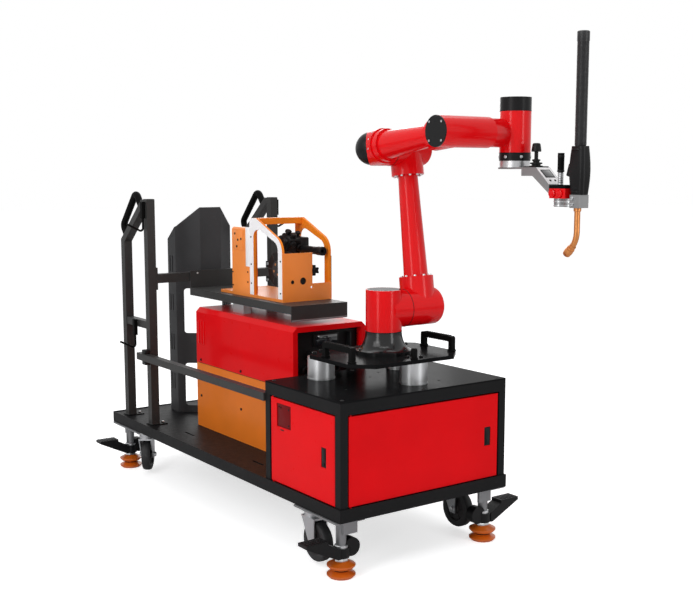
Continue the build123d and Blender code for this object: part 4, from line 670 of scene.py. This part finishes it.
def face_white(material, plane_y):
    """Paints white all that lies on the near outer face."""
    nodes, links = material.node_tree.nodes, material.node_tree.links
    shader = nodes["Principled BSDF"]
    painted = shader.inputs["Base Color"].links[0].from_socket
    where = nodes.new("ShaderNodeTexCoord")
    parts = nodes.new("ShaderNodeSeparateXYZ")
    links.new(where.outputs["Object"], parts.inputs["Vector"])
    outer = math_node(material.node_tree, "LESS_THAN", plane_y + 0.0006)
    links.new(parts.outputs["Y"], outer.inputs[0])
    cloud = noise_node(material.node_tree, where, {"Scale": 12.0})
    ramp = nodes.new("ShaderNodeMix")
    ramp.data_type = "RGBA"
    ramp.inputs["A"].default_value = (0.86, 0.84, 0.86, 1.0)
    ramp.inputs["B"].default_value = (0.94, 0.93, 0.94, 1.0)
    links.new(cloud.outputs["Fac"], ramp.inputs["Factor"])
    choice = nodes.new("ShaderNodeMix")
    choice.data_type = "RGBA"
    links.new(outer.outputs[0], choice.inputs["Factor"])
    links.new(painted, choice.inputs["A"])
    links.new(ramp.outputs["Result"], choice.inputs["B"])
    links.new(choice.outputs["Result"], shader.inputs["Base Color"])


face_white(arch_paint, arch_low.y)
white_sheet = coated(
    "white_sheet", (0.90, 0.885, 0.90), (0.78, 0.76, 0.76),
    (0.12, 0.2, 600.0, 0.28, 0.1), 0.00005,
    {"Coat Weight": 0.3})
dress(arch_paint, "feeder_frame")
feeder_orange = coated(
    "feeder_orange", (0.90, 0.255, 0.035), (0.66, 0.16, 0.02),
    (0.3, 0.15, 600.0, 0.24, 0.12), 0.00005,
    {"Specular IOR Level": 0.45, "Coat Weight": 0.15, "Coat Roughness": 0.08})
dress(feeder_orange, "feeder_base", "feeder_box")
dress(moulded_black, "wire_spool")
crate_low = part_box("feeder_box")[0]
side_tab = bmesh.new()
put_slab(side_tab, (arch_low.x - 0.027, arch_low.y - 0.0011, tray_top + 0.108),
         (arch_low.x + 0.001, arch_low.y + 0.0004, tray_top + 0.248), 0.0005)
piece("feeder_side_tab", side_tab, white_sheet, "cart", "arch_coat")
box_plate, feeder_screws_and_hole_shade = bmesh.new(), bmesh.new()
put_slab(box_plate, (crate_low.x + 0.014, crate_low.y - 0.0014, tray_top + 0.164),
         (crate_low.x + 0.080, crate_low.y + 0.0005, tray_top + 0.236), 0.0012)
# Dark discs on the box plate: painted shade standing for holes.
for x, z in ((0.024, 0.222), (0.045, 0.200), (0.067, 0.204), (0.037, 0.176)):
    put(feeder_screws_and_hole_shade, disc(0.0048, 0.0045, 0.0007, 20),
        aimed((crate_low.x + x, crate_low.y - 0.0013, tray_top + z), (0, -1, 0)))
for x, z in ((0.006, 0.034), (0.006, 0.082), (0.112, 0.052), (0.112, 0.088)):
    put_screw(feeder_screws_and_hole_shade, 0.003, 0.0018, (crate_low.x + x, crate_low.y, tray_top + z), (0, -1, 0))
rear_x, nose_x = arch_low.x + 0.011, arch_high.x - 0.010
for x, z in ((rear_x, 0.050), (rear_x, 0.118), (rear_x, 0.215), (nose_x, 0.030), (nose_x, 0.140)):
    put_screw(feeder_screws_and_hole_shade, 0.003, 0.0018, (x, arch_low.y, tray_top + z), (0, -1, 0))
# Dark discs on the arch's top: painted shade standing for two holes.
for y in (arch_low.y + 0.070, arch_low.y + 0.110):
    put(feeder_screws_and_hole_shade, disc(0.003, 0.0028, 0.0006, 16), at(arch_low.x + 0.020, y, arch_high.z))
piece("feeder_box_plate", box_plate, feeder_orange, "cart", "orange_coat")
piece("feeder_screws_and_holes", feeder_screws_and_hole_shade, moulded_black, "cart", "black_plastic")
drive_low, drive_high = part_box("wire_drive")
drive_end = drive_low.x + 0.076
outlet = Vector((drive_end, drive_high.y - 0.024, drive_low.z + 0.025))
drive = bmesh.new()
drive_middle = (drive_low + Vector((drive_end, drive_high.y, drive_high.z))) / 2
lean = math.radians(23)
tilted = Matrix.Translation(drive_middle + Vector((0, -0.004, 0.002))) @ Matrix.Rotation(lean, 4, "Y")
put_slab(drive, (drive_low.x, drive_high.y - 0.036, drive_low.z),
         (drive_end, drive_high.y, drive_high.z - 0.022), 0.005)
put(drive, rounded_slab((0.062, 0.066, 0.058), 0.009, 4), tilted)
put(drive, rounded_slab((0.052, 0.016, 0.046), 0.005, 3), tilted @ at(0, -0.036, -0.002))
for x, y, radius in ((-0.016, -0.014, 0.012), (0.014, -0.010, 0.012), (-0.002, 0.018, 0.010)):
    knob = lathed([(0.0, 0.0), (radius * 0.7, 0.0), (radius * 0.7, 0.005), (radius, 0.006), (radius, 0.012),
                   (radius * 0.8, 0.0145), (0.0, 0.0145)], 24)
    put(drive, knob, tilted @ at(x, y, 0.0285))
for x, z, radius in ((-0.013, 0.010, 0.012), (0.014, 0.009, 0.0115), (-0.012, -0.014, 0.011),
                     (0.014, -0.014, 0.0105)):
    roller = lathed([(0.0, 0.0), (radius, 0.0), (radius, 0.004), (radius * 0.85, 0.006),
                     (radius * 0.4, 0.006), (0.0, 0.003)], 24)
    put(drive, roller, tilted @ at(x, -0.0435, z) @ Matrix.Rotation(math.pi / 2, 4, "X"))
for y, z in ((-0.016, 0.008), (0.014, -0.004)):
    boss = lathed([(0.0, 0.0), (0.013, 0.0), (0.013, 0.004), (0.010, 0.007), (0.0, 0.0075)], 24)
    put(drive, boss, tilted @ at(0.0305, y, z) @ Matrix.Rotation(math.pi / 2, 4, "Y"))
reach = drive_high.x - drive_end
spout = lathed([(0.0, -0.006), (0.0145, -0.006), (0.0150, reach * 0.20), (0.0142, reach * 0.24),
                (0.0142, reach * 0.72), (0.0158, reach * 0.75), (0.0158, reach - 0.0016), (0.0144, reach),
                (0.0112, reach), (0.0108, reach - 0.004), (0.0066, reach - 0.004), (0.0060, reach - 0.020),
                (0.0, reach - 0.020)], 40)
put(drive, spout, aimed(outlet, (1, 0, 0)))
piece("drive_unit", drive, moulded_black, "cart", "black_plastic", "wire_drive")
port_plugs = bmesh.new()
base_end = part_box("feeder_base")
for across, rise_up, radius in ((0.040, 0.068, 0.0068), (0.083, 0.070, 0.0123)):
    plug = lathed([(0.0, 0.0), (radius, 0.0), (radius, 0.002), (radius * 0.6, 0.002),
                   (radius * 0.55, 0.0012), (0.0, 0.0012)], 32)
    put(port_plugs, plug, aimed((base_end[1].x - 0.0034, base_end[0].y + across, tray_top + rise_up),
                                (1, 0, 0)))
piece("feeder_port_plugs", port_plugs, dark_shade_and_seal, "cart", "black_plastic")
far_edge = bmesh.new()
put_slab(far_edge, (arch_high.x - 0.020, arch_high.y - 0.0002, tray_top + 0.006),
         (arch_high.x - 0.0005, arch_high.y + 0.0032, tray_top + 0.152), 0.0014)
piece("feeder_far_edging", far_edge, moulded_black, "cart", "black_plastic")
fitting = bmesh.new()
fit = Vector((base_end[1].x - 0.009, base_end[0].y + 0.1172, tray_top + 0.104))
put_slab(fitting, fit + Vector((-0.009, 0.0, -0.010)), fit + Vector((0.009, 0.030, 0.010)), 0.0025)
for z in (-0.013, 0.013):
    put_slab(fitting, fit + Vector((-0.006, 0.009, z - 0.006)), fit + Vector((0.006, 0.021, z + 0.006)),
             0.0025)
for y, z in ((0.015, 0.0), (0.0255, 0.0065), (0.0255, -0.0065)):
    put_screw(fitting, 0.0042, 0.003, fit + Vector((0.0088, y, z)), (1, 0, 0))
piece("gas_fitting", fitting, moulded_black, "cart", "black_plastic")
spool_at = Vector(hinge["spool_spin"]["pos_m"])
spool_low, spool_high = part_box("wire_spool")
spool_half, spool_r = (spool_high.y - spool_low.y) / 2, (spool_high.x - spool_low.x) / 2
spool_mid = Vector((spool_at.x, (spool_low.y + spool_high.y) / 2, spool_at.z))
turns, core_r, flange_thick = 12, 0.0318, 0.0073
groove_r, wire_top_r = spool_r - 0.0125, spool_r - 0.0112
step = 2 * (spool_half - flange_thick) / turns
wound = [(core_r, -spool_half + 0.0072)]
for turn_index in range(turns):
    base = -spool_half + flange_thick + step * turn_index
    wound += [(groove_r, base + step * 0.1), (wire_top_r, base + step * 0.5), (groove_r, base + step * 0.9)]
wound += [(core_r, spool_half - 0.0072)]
winding = bmesh.new()
put_turned(winding, wound, 48, aimed(spool_mid, (0, 1, 0)))
copper = coated(
    "copper", (0.60, 0.235, 0.075), (0.42, 0.15, 0.06),
    (0.35, 0.35, 500.0, 0.24, 0.2), 0.00006,
    {"Metallic": 0.85})
piece("wire_winding", winding, copper, "spool", "copper_metal")
hub_face = bmesh.new()
hub_place = aimed((spool_at.x, spool_low.y, spool_at.z), (0, -1, 0))
put_turned(hub_face, [(0.0, 0.0006), (0.0, 0.0048), (0.0095, 0.0048), (0.0105, 0.0036), (0.0125, 0.0034),
                      (0.0245, 0.0034), (0.0295, 0.0020), (0.0300, -0.0002), (0.0, -0.0002)], 40, hub_place)
for spoke in range(6):
    rib = rounded_slab((spool_r - 0.036, 0.004, 0.0016), 0.0005)
    bmesh.ops.translate(rib, vec=((spool_r + 0.030) / 2, 0, 0.0004), verts=rib.verts)
    put(hub_face, rib, hub_place @ Matrix.Rotation(math.tau * spoke / 6, 4, "Z"))
piece("spool_hub_face", hub_face, hub_plastic, "spool", "black_plastic")
hub_holes = bmesh.new()
for index in range(4):
    hole = disc(0.0042, 0.0042, 0.0006, 20)
    bmesh.ops.translate(hole, vec=(0.0185, 0, 0.0032), verts=hole.verts)
    put(hub_holes, hole, hub_place @ Matrix.Rotation(math.tau * index / 4 + 0.4, 4, "Z"))
piece("spool_hub_holes", hub_holes, copper, "spool", "copper_metal")


# The push frames, rails and gas cylinder bracket. Square steel tube, welded and powder coated, with moulded
# caps and grips and bent wire hooks. The bracket is one folded sheet with strap slots, bolted by foot tabs.
dark_sheet = coated(
    "dark_sheet", (0.045, 0.045, 0.047), (0.10, 0.10, 0.104),
    (0.4, 0.3, 1300.0, 0.34, 0.2), 0.0001,
    {"Specular IOR Level": 0.25, "IOR": 1.3})
dress(frame_powder, "push_frame_left", "push_frame_right", "side_rails")
deep_black = coated(
    "deep_black", (0.003, 0.003, 0.003), (0.012, 0.012, 0.012),
    (0.4, 0.3, 1300.0, 0.45, 0.2), 0.00012,
    {"Specular IOR Level": 0.12, "IOR": 1.3})
dress(deep_black, "push_grips", "cable_hooks")
dress(dark_sheet, "cylinder_bracket")
post_caps, weld_beads, rail_clips = bmesh.new(), bmesh.new(), bmesh.new()
frame_top, cap_half, bead_side = left_high.z, 0.0155, 0.0352
clip_half, clip_reach, clip_grip = 0.015, 0.016, 0.001
rails_low, rails_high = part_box("side_rails")
for y, way in zip(post_ys, (-1, 1)):
    put_slab(post_caps, (post_xs[1] - cap_half, y - cap_half, frame_top - 0.001),
             (post_xs[1] + cap_half, y + cap_half, frame_top + 0.0022), 0.0012)
    for x in post_xs:
        put(weld_beads, rounded_slab((bead_side, bead_side, 0.004), 0.0017, 3), at(x, y, deck_floor + 0.0052))
    for low, high in ((rails_high.z - clip_grip, rails_high.z + clip_reach),
                      (rails_low.z - clip_reach, rails_low.z + clip_grip)):
        outer = sorted((y + way * (post_half - clip_grip), y + way * (post_half + 0.022)))
        put_slab(rail_clips, (post_xs[1] - clip_half, outer[0], low),
                 (post_xs[1] + clip_half, outer[1], high), 0.003)
piece("post_caps", post_caps, moulded_black, "cart", "black_plastic")
piece("post_foot_welds", weld_beads, frame_powder, "cart", "black_coat")
piece("rail_clips", rail_clips, moulded_black, "cart", "black_plastic")
bracket_low, bracket_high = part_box("cylinder_bracket")
bracket_mid = (bracket_low.y + bracket_high.y) / 2
tab_spread, tab_half, tab_thick = 0.026, 0.014, 0.004
tabs, tab_bolts = bmesh.new(), bmesh.new()
for y in (bracket_mid - tab_spread, bracket_mid + tab_spread):
    put_slab(tabs, (bracket_high.x - 0.001, y - tab_half, deck_floor),
             (bracket_high.x + 0.030, y + tab_half, deck_floor + tab_thick), 0.0008)
    put_slab(tabs, (bracket_high.x - 0.0005, y - tab_half, deck_floor),
             (bracket_high.x + 0.0035, y + tab_half, deck_floor + 0.026), 0.0008)
    put(tab_bolts, hex_head(0.0065, 0.005), at(bracket_high.x + 0.018, y, deck_floor + tab_thick))
piece("bracket_foot_tabs", tabs, dark_sheet, "cart", "dark_sheet")
piece("bracket_foot_bolts", tab_bolts, zinc_bolt, "cart", "galvanised")


# The arm's plate. A thick black plate with cut corners, screwed to three turned aluminium legs. Two moulded
# handles with ribbed bars stand on its long sides, and a tall round knob on its front edge.
dress(black_gloss, "base_plate")
dress(bright_metal, "standoffs")
dress(deep_black, "plate_handles")
plate_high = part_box("base_plate")[1]
legs_low, legs_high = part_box("standoffs")
arm_at = Vector(hinge["base_turn"]["pos_m"])
leg_r, front_leg_y, screw_ring_r = 0.043, 0.031, 0.024
leg_places = [(legs_low.x + leg_r, legs_low.y + leg_r), (legs_low.x + leg_r, legs_high.y - leg_r),
              (legs_high.x - leg_r, front_leg_y)]
leg_rings, plate_screws, knobs = bmesh.new(), bmesh.new(), bmesh.new()
for x, y in leg_places:
    put_turned(leg_rings, [(0.0420, 0.0), (0.0442, 0.0), (0.0442, 0.004), (0.0432, 0.005), (0.0420, 0.005),
                           (0.0420, 0.0)], 48, at(x, y, legs_low.z))
    for part in range(3):
        angle = math.tau * part / 3 + 0.5
        put(plate_screws, cap_screw(0.0065, 0.005),
            at(x + screw_ring_r * math.cos(angle), y + screw_ring_r * math.sin(angle), plate_high.z))
put_turned(knobs, [(0.0, 0.0), (0.012, 0.0), (0.012, 0.003), (0.010, 0.004), (0.010, 0.029), (0.008, 0.032),
                   (0.0, 0.032)], 28, at(plate_high.x - 0.020, 0.008, plate_high.z))
piece("leg_foot_rings", leg_rings, zinc_bolt, "cart", "silver_metal")
piece("plate_screws", plate_screws, moulded_black, "cart", "black_plastic")
piece("plate_knobs", knobs, deep_black, "cart", "black_plastic")
handle_low, handle_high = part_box("plate_handles")
handle_ribs = bmesh.new()
bar_half, rib_pitch, ribs_each_way, foot_half = 0.008, 0.0112, 5, 0.0105
for y in (handle_low.y + bar_half, handle_high.y - bar_half):
    for step in range(-ribs_each_way, ribs_each_way + 1):
        x = (handle_low.x + handle_high.x) / 2 + rib_pitch * step
        for z in (handle_high.z - 0.0022, handle_high.z - 0.0138):
            bump = lathed([(0.0, -0.0078), (0.0036, -0.0078), (0.0046, -0.0066), (0.0046, 0.0066),
                           (0.0036, 0.0078), (0.0, 0.0078)], 14)
            put(handle_ribs, bump, aimed((x, y, z), (0, 1, 0)))
    for x in (handle_low.x + bar_half, handle_high.x - bar_half):
        put_slab(handle_ribs, (x - foot_half, y - foot_half, handle_low.z),
                 (x + foot_half, y + foot_half, handle_low.z + 0.006), 0.002)
piece("handle_ribs", handle_ribs, deep_black, "cart", "black_plastic")


# The robot arm. Cast links in glossy red enamel on a flared black foot. Socket screws hold the tubes to their
# collars, a dark seal shows at each turning joint, and moulded black covers close the ends.
arm_red = coated(
    "arm_red", (0.74, 0.003, 0.0055), (0.6, 0.006, 0.010),
    (0.16, 0.1, 380.0, 0.13, 0.08), 0.00002,
    {"Specular IOR Level": 0.26, "IOR": 1.45})
black_cover = coated(
    "black_cover", (0.010, 0.010, 0.0105), (0.035, 0.035, 0.037),
    (0.35, 0.2, 1200.0, 0.26, 0.14), 0.00008,
    {"Specular IOR Level": 0.3, "IOR": 1.3})
polished_black = coated(
    "polished_black", (0.008, 0.008, 0.0085), (0.03, 0.03, 0.032),
    (0.35, 0.2, 1200.0, 0.12, 0.1), 0.00003,
    {"Specular IOR Level": 0.35})
dress(polished_black, "arm_foot")
dress(black_gloss, "column_cap")
dress(black_cover, "elbow_cap", "wrist_disc", "wrist_caps")
dress(arm_red, "shoulder_column", "upper_arm", "elbow_housing", "forearm", "wrist_column")
shoulder_at = Vector(hinge["shoulder_swing"]["pos_m"])
elbow_at = Vector(hinge["elbow_swing"]["pos_m"])
roll_at = Vector(hinge["forearm_roll"]["pos_m"])
roll_way = Vector(hinge["forearm_roll"]["axis"])
wrist_at = Vector(hinge["wrist_swing"]["pos_m"])
tip_at = Vector(hinge["tool_turn"]["pos_m"])
upper_way = (elbow_at - shoulder_at).normalized()
upper_length = (elbow_at - shoulder_at).length
upper_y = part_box("upper_arm")[0].y + 0.066


def ring_of_screws(whole, centre, way, radius, count, head, height, start=0.0):
    """Socket screws in a ring, heads standing along the axis."""
    place = aimed(centre, way)
    for index in range(count):
        angle = start + math.tau * index / count
        put(whole, cap_screw(head, height), place @ at(radius * math.cos(angle), radius * math.sin(angle), 0))


def seal(whole, centre, way, radius):
    """A thin dark seal that stands a hair proud of the joint."""
    put_turned(whole, [(radius - 0.003, -0.0009), (radius + 0.0005, -0.0009), (radius + 0.0007, 0.0),
                       (radius + 0.0005, 0.0009), (radius - 0.003, 0.0009), (radius - 0.003, -0.0009)], 72,
               aimed(centre, way))


foot_screws = bmesh.new()
ring_of_screws(foot_screws, (arm_at.x, 0.0, plate_high.z + 0.012), (0, 0, 1), 0.079, 6, 0.0062, 0.006, 0.3)
piece("foot_screws", foot_screws, moulded_black, "cart", "black_plastic")
foot_plugs = bmesh.new()
for angle in (1.9, 2.35):
    way = Vector((math.cos(angle), math.sin(angle), 0))
    put_turned(foot_plugs, [(0.0, 0.0), (0.010, 0.0), (0.010, 0.014), (0.0085, 0.016), (0.0085, 0.026),
                            (0.0, 0.026)], 24,
               aimed(Vector((arm_at.x, 0, plate_high.z + 0.034)) + way * 0.063, way))
piece("foot_plugs", foot_plugs, moulded_black, "cart", "black_plastic")
collar_screws = bmesh.new()
along = Vector((shoulder_at.x, upper_y, shoulder_at.z))
ring_of_screws(collar_screws, along + upper_way * 0.0968, upper_way, 0.0475, 10, 0.0042, 0.0045, 0.2)
ring_of_screws(collar_screws, along + upper_way * (upper_length - 0.0848), -upper_way, 0.0425, 10, 0.0042,
               0.0045, 0.2)
piece("upper_arm_screws", collar_screws, zinc_bolt, "upper_arm_body", "galvanised")
for name, centre, way, radius, body in (
        ("shoulder_seal", shoulder_at, (0, 1, 0), 0.060, "turret"),
        ("elbow_seal", elbow_at, (0, 1, 0), 0.054, "upper_arm_body"),
        ("forearm_seal", roll_at + roll_way * 0.0622, roll_way, 0.0486, "elbow"),
        ("wrist_seal", wrist_at, (0, 1, 0), 0.0435, "forearm_body"),
        ("base_seal", arm_at, (0, 0, 1), 0.0570, "cart")):
    joint_seal = bmesh.new()
    seal(joint_seal, centre, way, radius)
    piece(name, joint_seal, dark_shade_and_seal, body, "black_plastic")
elbow_screws = bmesh.new()
for angle in (2.25, 2.75, 3.3):
    place = aimed(roll_at, roll_way) @ Matrix.Rotation(angle, 4, "Z") @ at(0.0532, 0, 0.050)
    put(elbow_screws, cap_screw(0.0030, 0.0016), place @ Matrix.Rotation(math.pi / 2, 4, "Y"))
piece("elbow_screws", elbow_screws, zinc_bolt, "elbow", "galvanised")
forearm_screws = bmesh.new()
disc_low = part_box("wrist_disc")[0]
ring_of_screws(forearm_screws, (wrist_at.x, disc_low.y, wrist_at.z), (0, -1, 0), 0.0375, 4, 0.0034, 0.0022,
               math.pi / 4)
piece("forearm_screws", forearm_screws, zinc_bolt, "forearm_body", "galvanised")
tip_screws = bmesh.new()
caps_low, caps_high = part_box("wrist_caps")
tip_r = (caps_high.x - caps_low.x) / 2
for index in range(6):
    angle = math.tau * index / 6 - 0.35
    way = Vector((math.cos(angle), math.sin(angle), 0))
    ring_middle = Vector((tip_at.x, tip_at.y, caps_low.z + 0.0115))
    put_screw(tip_screws, 0.0048, 0.002, ring_middle + way * (tip_r - 0.0006), way)
piece("tip_ring_screws", tip_screws, zinc_bolt, "wrist", "galvanised")
tip_seams = bmesh.new()
seal(tip_seams, (tip_at.x, tip_at.y, caps_high.z - 0.040), (0, 0, 1), tip_r)
seal(tip_seams, (tip_at.x, tip_at.y, caps_low.z + 0.023), (0, 0, 1), tip_r)
piece("tip_seams", tip_seams, dark_shade_and_seal, "wrist", "black_plastic")


# The welding tool. A milled aluminium bar under the flange steps down to a red quick clamp with a lever. It
# carries a small screen, two buttons, a bellows joystick and a crash block with the copper-necked torch.
bar_metal = coated(
    "milled_aluminium", (0.30, 0.302, 0.305), (0.24, 0.24, 0.245),
    (0.18, 0.35, 260.0, 0.30, 0.2), 0.00004,
    {"Metallic": 0.9})
dress(bright_metal, "tool_flange")
dress(bar_metal, "tool_bracket", "torch_block")
dress(arm_red, "quick_clamp")
dress(deep_black, "clamp_lever")
dress(copper, "torch_neck")
bar_low, bar_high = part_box("tool_bracket")
bar_mid = (bar_low.y + bar_high.y) / 2
slope_run, slope_drop = 0.055, 0.050
slope_top = Vector((bar_high.x - slope_run, bar_mid, bar_high.z))
slope_end = Vector((bar_high.x, bar_mid, bar_high.z - slope_drop))
slope_way = (slope_end - slope_top).normalized()
slope_out = Vector((-slope_way.z, 0, slope_way.x))
slope = Matrix((slope_way, Vector((0, 1, 0)), slope_out)).transposed().to_4x4()
slope.translation = slope_top
screen_frame, screen, buttons, bar_plate = bmesh.new(), bmesh.new(), bmesh.new(), bmesh.new()
slope_length = (slope_end - slope_top).length
put(bar_plate, rounded_slab((slope_length - 0.004, bar_high.y - bar_low.y - 0.004, 0.0012), 0.0004),
    slope @ at(slope_length / 2, 0.0, 0.0002))
piece("bar_plate", bar_plate, white_sheet, "tool", "silver_metal")
put(screen_frame, rounded_slab((0.034, 0.040, 0.0016), 0.0006), slope @ at(0.028, 0.0, 0.0004))
put(screen, rounded_slab((0.027, 0.032, 0.0012), 0.0003), slope @ at(0.028, 0.0, 0.0010))
for y in (-0.011, 0.009):
    put_turned(buttons, [(0.0, 0.0), (0.0038, 0.0), (0.0038, 0.0014), (0.003, 0.0022), (0.0, 0.0024)], 20,
               slope @ at(0.057, y, 0.0))
put(buttons, rounded_slab((0.052, 0.052, 0.003), 0.001), at(tip_at.x + 0.089, tip_at.y, bar_high.z + 0.0015))
piece("screen_frame", screen_frame, black_cover, "tool", "black_plastic")
piece("tool_screen", screen, screen_glass, "tool", "black_plastic")
piece("tool_buttons", buttons, black_cover, "tool", "black_plastic")
stick_low, stick_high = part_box("joystick")
rise = stick_high.z - stick_low.z
knob_low = rise - 0.025
stick = lathed([(0.0, 0.0), (0.020, 0.0), (0.020, 0.0045), (0.013, 0.0055), (0.013, 0.0085), (0.018, 0.0095),
                (0.018, 0.0135), (0.0095, 0.0145), (0.0095, 0.0175), (0.0122, 0.0185), (0.0122, 0.0225),
                (0.0057, 0.0240), (0.0057, knob_low), (0.0132, knob_low), (0.0145, knob_low + 0.0015),
                (0.0138, knob_low + 0.0080), (0.0118, rise - 0.0040), (0.0100, rise - 0.0012), (0.0070, rise),
                (0.0, rise)], 40)
bellows = bmesh.new()
put(bellows, stick, at((stick_low.x + stick_high.x) / 2, (stick_low.y + stick_high.y) / 2, stick_low.z))
piece("joystick_bellows", bellows, moulded_black, "tool", "black_plastic", "joystick")
lever_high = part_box("clamp_lever")[1]
lever_x = tip_at.x + 0.187
sleeve_r, ridge_r, dip_r, ridge_pitch = 0.0069, 0.0082, 0.0074, 0.0058
sleeve = [(sleeve_r, 0.0)]
for step in range(6):
    z = step * ridge_pitch
    sleeve += [(ridge_r, 0.001 + z), (ridge_r, 0.0045 + z), (dip_r, 0.0052 + z)]
sleeve += [(sleeve_r, 0.036)]
stem, grip_tip = bmesh.new(), bmesh.new()
put_turned(stem, sleeve, 28, at(lever_x, tip_at.y, lever_high.z - 0.090))
put_turned(grip_tip, [(0.0, 0.0018), (0.0055, 0.0014), (0.0088, -0.0006), (0.0099, -0.006),
                      (0.0099, -0.010), (0.0095, -0.011)], 28, at(lever_x, tip_at.y, lever_high.z - 0.0018))
put_turned(grip_tip, [(0.0095, 0.0), (0.0104, 0.001), (0.0104, 0.005), (0.0095, 0.006)], 28,
           at(lever_x, tip_at.y, lever_high.z - 0.054))
piece("lever_sleeve", stem, bright_metal, "tool", "silver_metal")
piece("lever_grip_ends", grip_tip, moulded_black, "tool", "black_plastic")
clamp_low, clamp_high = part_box("quick_clamp")
clamp_parts = bmesh.new()
for x in (clamp_low.x + 0.012, clamp_low.x + 0.040):
    put_turned(clamp_parts, [(0.0, 0.0), (0.011, 0.0), (0.0115, 0.001), (0.0115, 0.004), (0.009, 0.0055),
                             (0.0, 0.006)], 28,
               aimed((x, clamp_low.y - 0.0005, (clamp_low.z + clamp_high.z) / 2), (0, -1, 0)))
piece("clamp_cams", clamp_parts, arm_red, "tool", "red_coat")
grip_low, grip_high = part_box("torch_block")
block_screws = bmesh.new()
tube_low, tube_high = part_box("torch_tube")
torch_x = (tube_low.x + tube_high.x) / 2
for z in (grip_low.z + 0.010, grip_high.z - 0.010):
    put_screw(block_screws, 0.0055, 0.0045, (torch_x - 0.008, grip_low.y, z), (0, -1, 0))
sensor_r, sensor_gap = 0.019, 0.039
band_in, band_out = sensor_r - 0.001, sensor_r + 0.0012
for x in (grip_low.x + sensor_r, grip_low.x + sensor_r + sensor_gap):
    for z in (0.0015, 0.0125):
        band = [(band_in, 0.0), (band_out, 0.001), (band_out, 0.004), (band_in, 0.005), (band_in, 0.0)]
        put_turned(block_screws, band, 36, at(x, tip_at.y, clamp_low.z - 0.024 + z))
piece("torch_block_screws", block_screws, zinc_bolt, "tool", "galvanised")
handle_box_low, handle_box_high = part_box("torch_handle")
tall = handle_box_high.z - handle_box_low.z
torch_handle_z = (handle_box_low.z + handle_box_high.z) / 2
half_x, half_y = 0.028, 0.021
torch_grip = bmesh.new()
shell = bmesh.new()
bmesh.ops.create_cube(shell, size=1.0)
bmesh.ops.scale(shell, vec=(2 * half_x, 2 * half_y, tall), verts=shell.verts)
uprights = [edge for edge in shell.edges if abs(edge.verts[0].co.z - edge.verts[1].co.z) > 0.01]
bmesh.ops.subdivide_edges(shell, edges=uprights, cuts=5)
for vert in shell.verts:
    share = vert.co.z / tall + 0.5
    pinch = 0.84 + 0.16 * math.sin(math.pi * min(1.0, max(0.0, share)))
    vert.co.x *= pinch
    vert.co.y *= pinch
corners = [edge for edge in shell.edges if abs(edge.verts[0].co.z - edge.verts[1].co.z) > 0.01]
round_edges(shell, corners, 0.013, 5)
put(torch_grip, shell, at(torch_x, tip_at.y, torch_handle_z))
for z in (handle_box_low.z + 0.006, handle_box_high.z - 0.012):
    put_turned(torch_grip, [(0.019, 0.0), (0.0235, 0.001), (0.0235, 0.005), (0.019, 0.006)], 36,
               at(torch_x, tip_at.y, z))
trigger = rounded_slab((0.020, 0.014, 0.036), 0.003)
trigger_lean = Matrix.Rotation(0.28, 4, "Y")
put(torch_grip, trigger, at(torch_x - half_x - 0.004, tip_at.y, torch_handle_z) @ trigger_lean)
piece("torch_grip", torch_grip, black_cover, "tool", "black_plastic", "torch_handle")
tube_length, tube_r = tube_high.z - tube_low.z, (tube_high.x - tube_low.x) / 2
rib_low_r, rib_top_r, mouth_r = tube_r - 0.0016, tube_r - 0.0008, tube_r - 0.006
ribs = 90
pitch = (tube_length - 0.030) / ribs
ribbed = [(0.0, 0.0), (tube_r - 0.0022, 0.0)]
for index in range(ribs):
    z = 0.003 + pitch * index
    ribbed += [(rib_low_r, z), (rib_top_r, z + pitch * 0.35), (rib_top_r, z + pitch * 0.75)]
ribbed += [(tube_r, tube_length - 0.026), (tube_r, tube_length - 0.002), (tube_r - 0.002, tube_length),
           (mouth_r, tube_length), (mouth_r, tube_length - 0.02), (0.0, tube_length - 0.02)]
hose = bmesh.new()
put_turned(hose, ribbed, 40, at(torch_x, tip_at.y, tube_low.z))
hose_plastic = coated(
    "hose_plastic", (0.014, 0.014, 0.015), (0.05, 0.05, 0.052),
    (0.4, 0.4, 1200.0, 0.3, 0.2), 0.0001,
    {"Specular IOR Level": 0.4})
piece("torch_hose", hose, hose_plastic, "tool", "black_plastic", "torch_tube")
neck_low, neck_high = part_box("torch_neck")
neck_r, end_back, end_rise = 0.0085, 0.0205, 0.0249
neck_x = neck_high.x - neck_r
slant = Vector((-math.sqrt(0.5), 0, -math.sqrt(0.5)))
neck_end = Vector((neck_x - end_back, tip_at.y, neck_low.z + end_rise))
nozzle = bmesh.new()
put_turned(nozzle, [(0.0085, -0.004), (0.0105, -0.003), (0.0118, 0.004), (0.0126, 0.010), (0.0126, 0.015),
                    (0.0112, 0.0245), (0.0100, 0.0262), (0.0070, 0.0262), (0.0066, 0.020), (0.0, 0.020)],
           36, aimed(neck_end, slant))
put_turned(nozzle, [(0.0085, 0.0), (0.0100, 0.0006), (0.0100, 0.0052), (0.0085, 0.006)], 36,
           aimed(neck_end - slant * 0.012, slant))
put_turned(nozzle, [(0.0085, 0.0), (0.0108, 0.0008), (0.0108, 0.009), (0.0085, 0.010)], 36,
           at(neck_x, tip_at.y, grip_low.z - 0.010))
piece("torch_nozzle", nozzle, copper, "tool", "copper_metal")
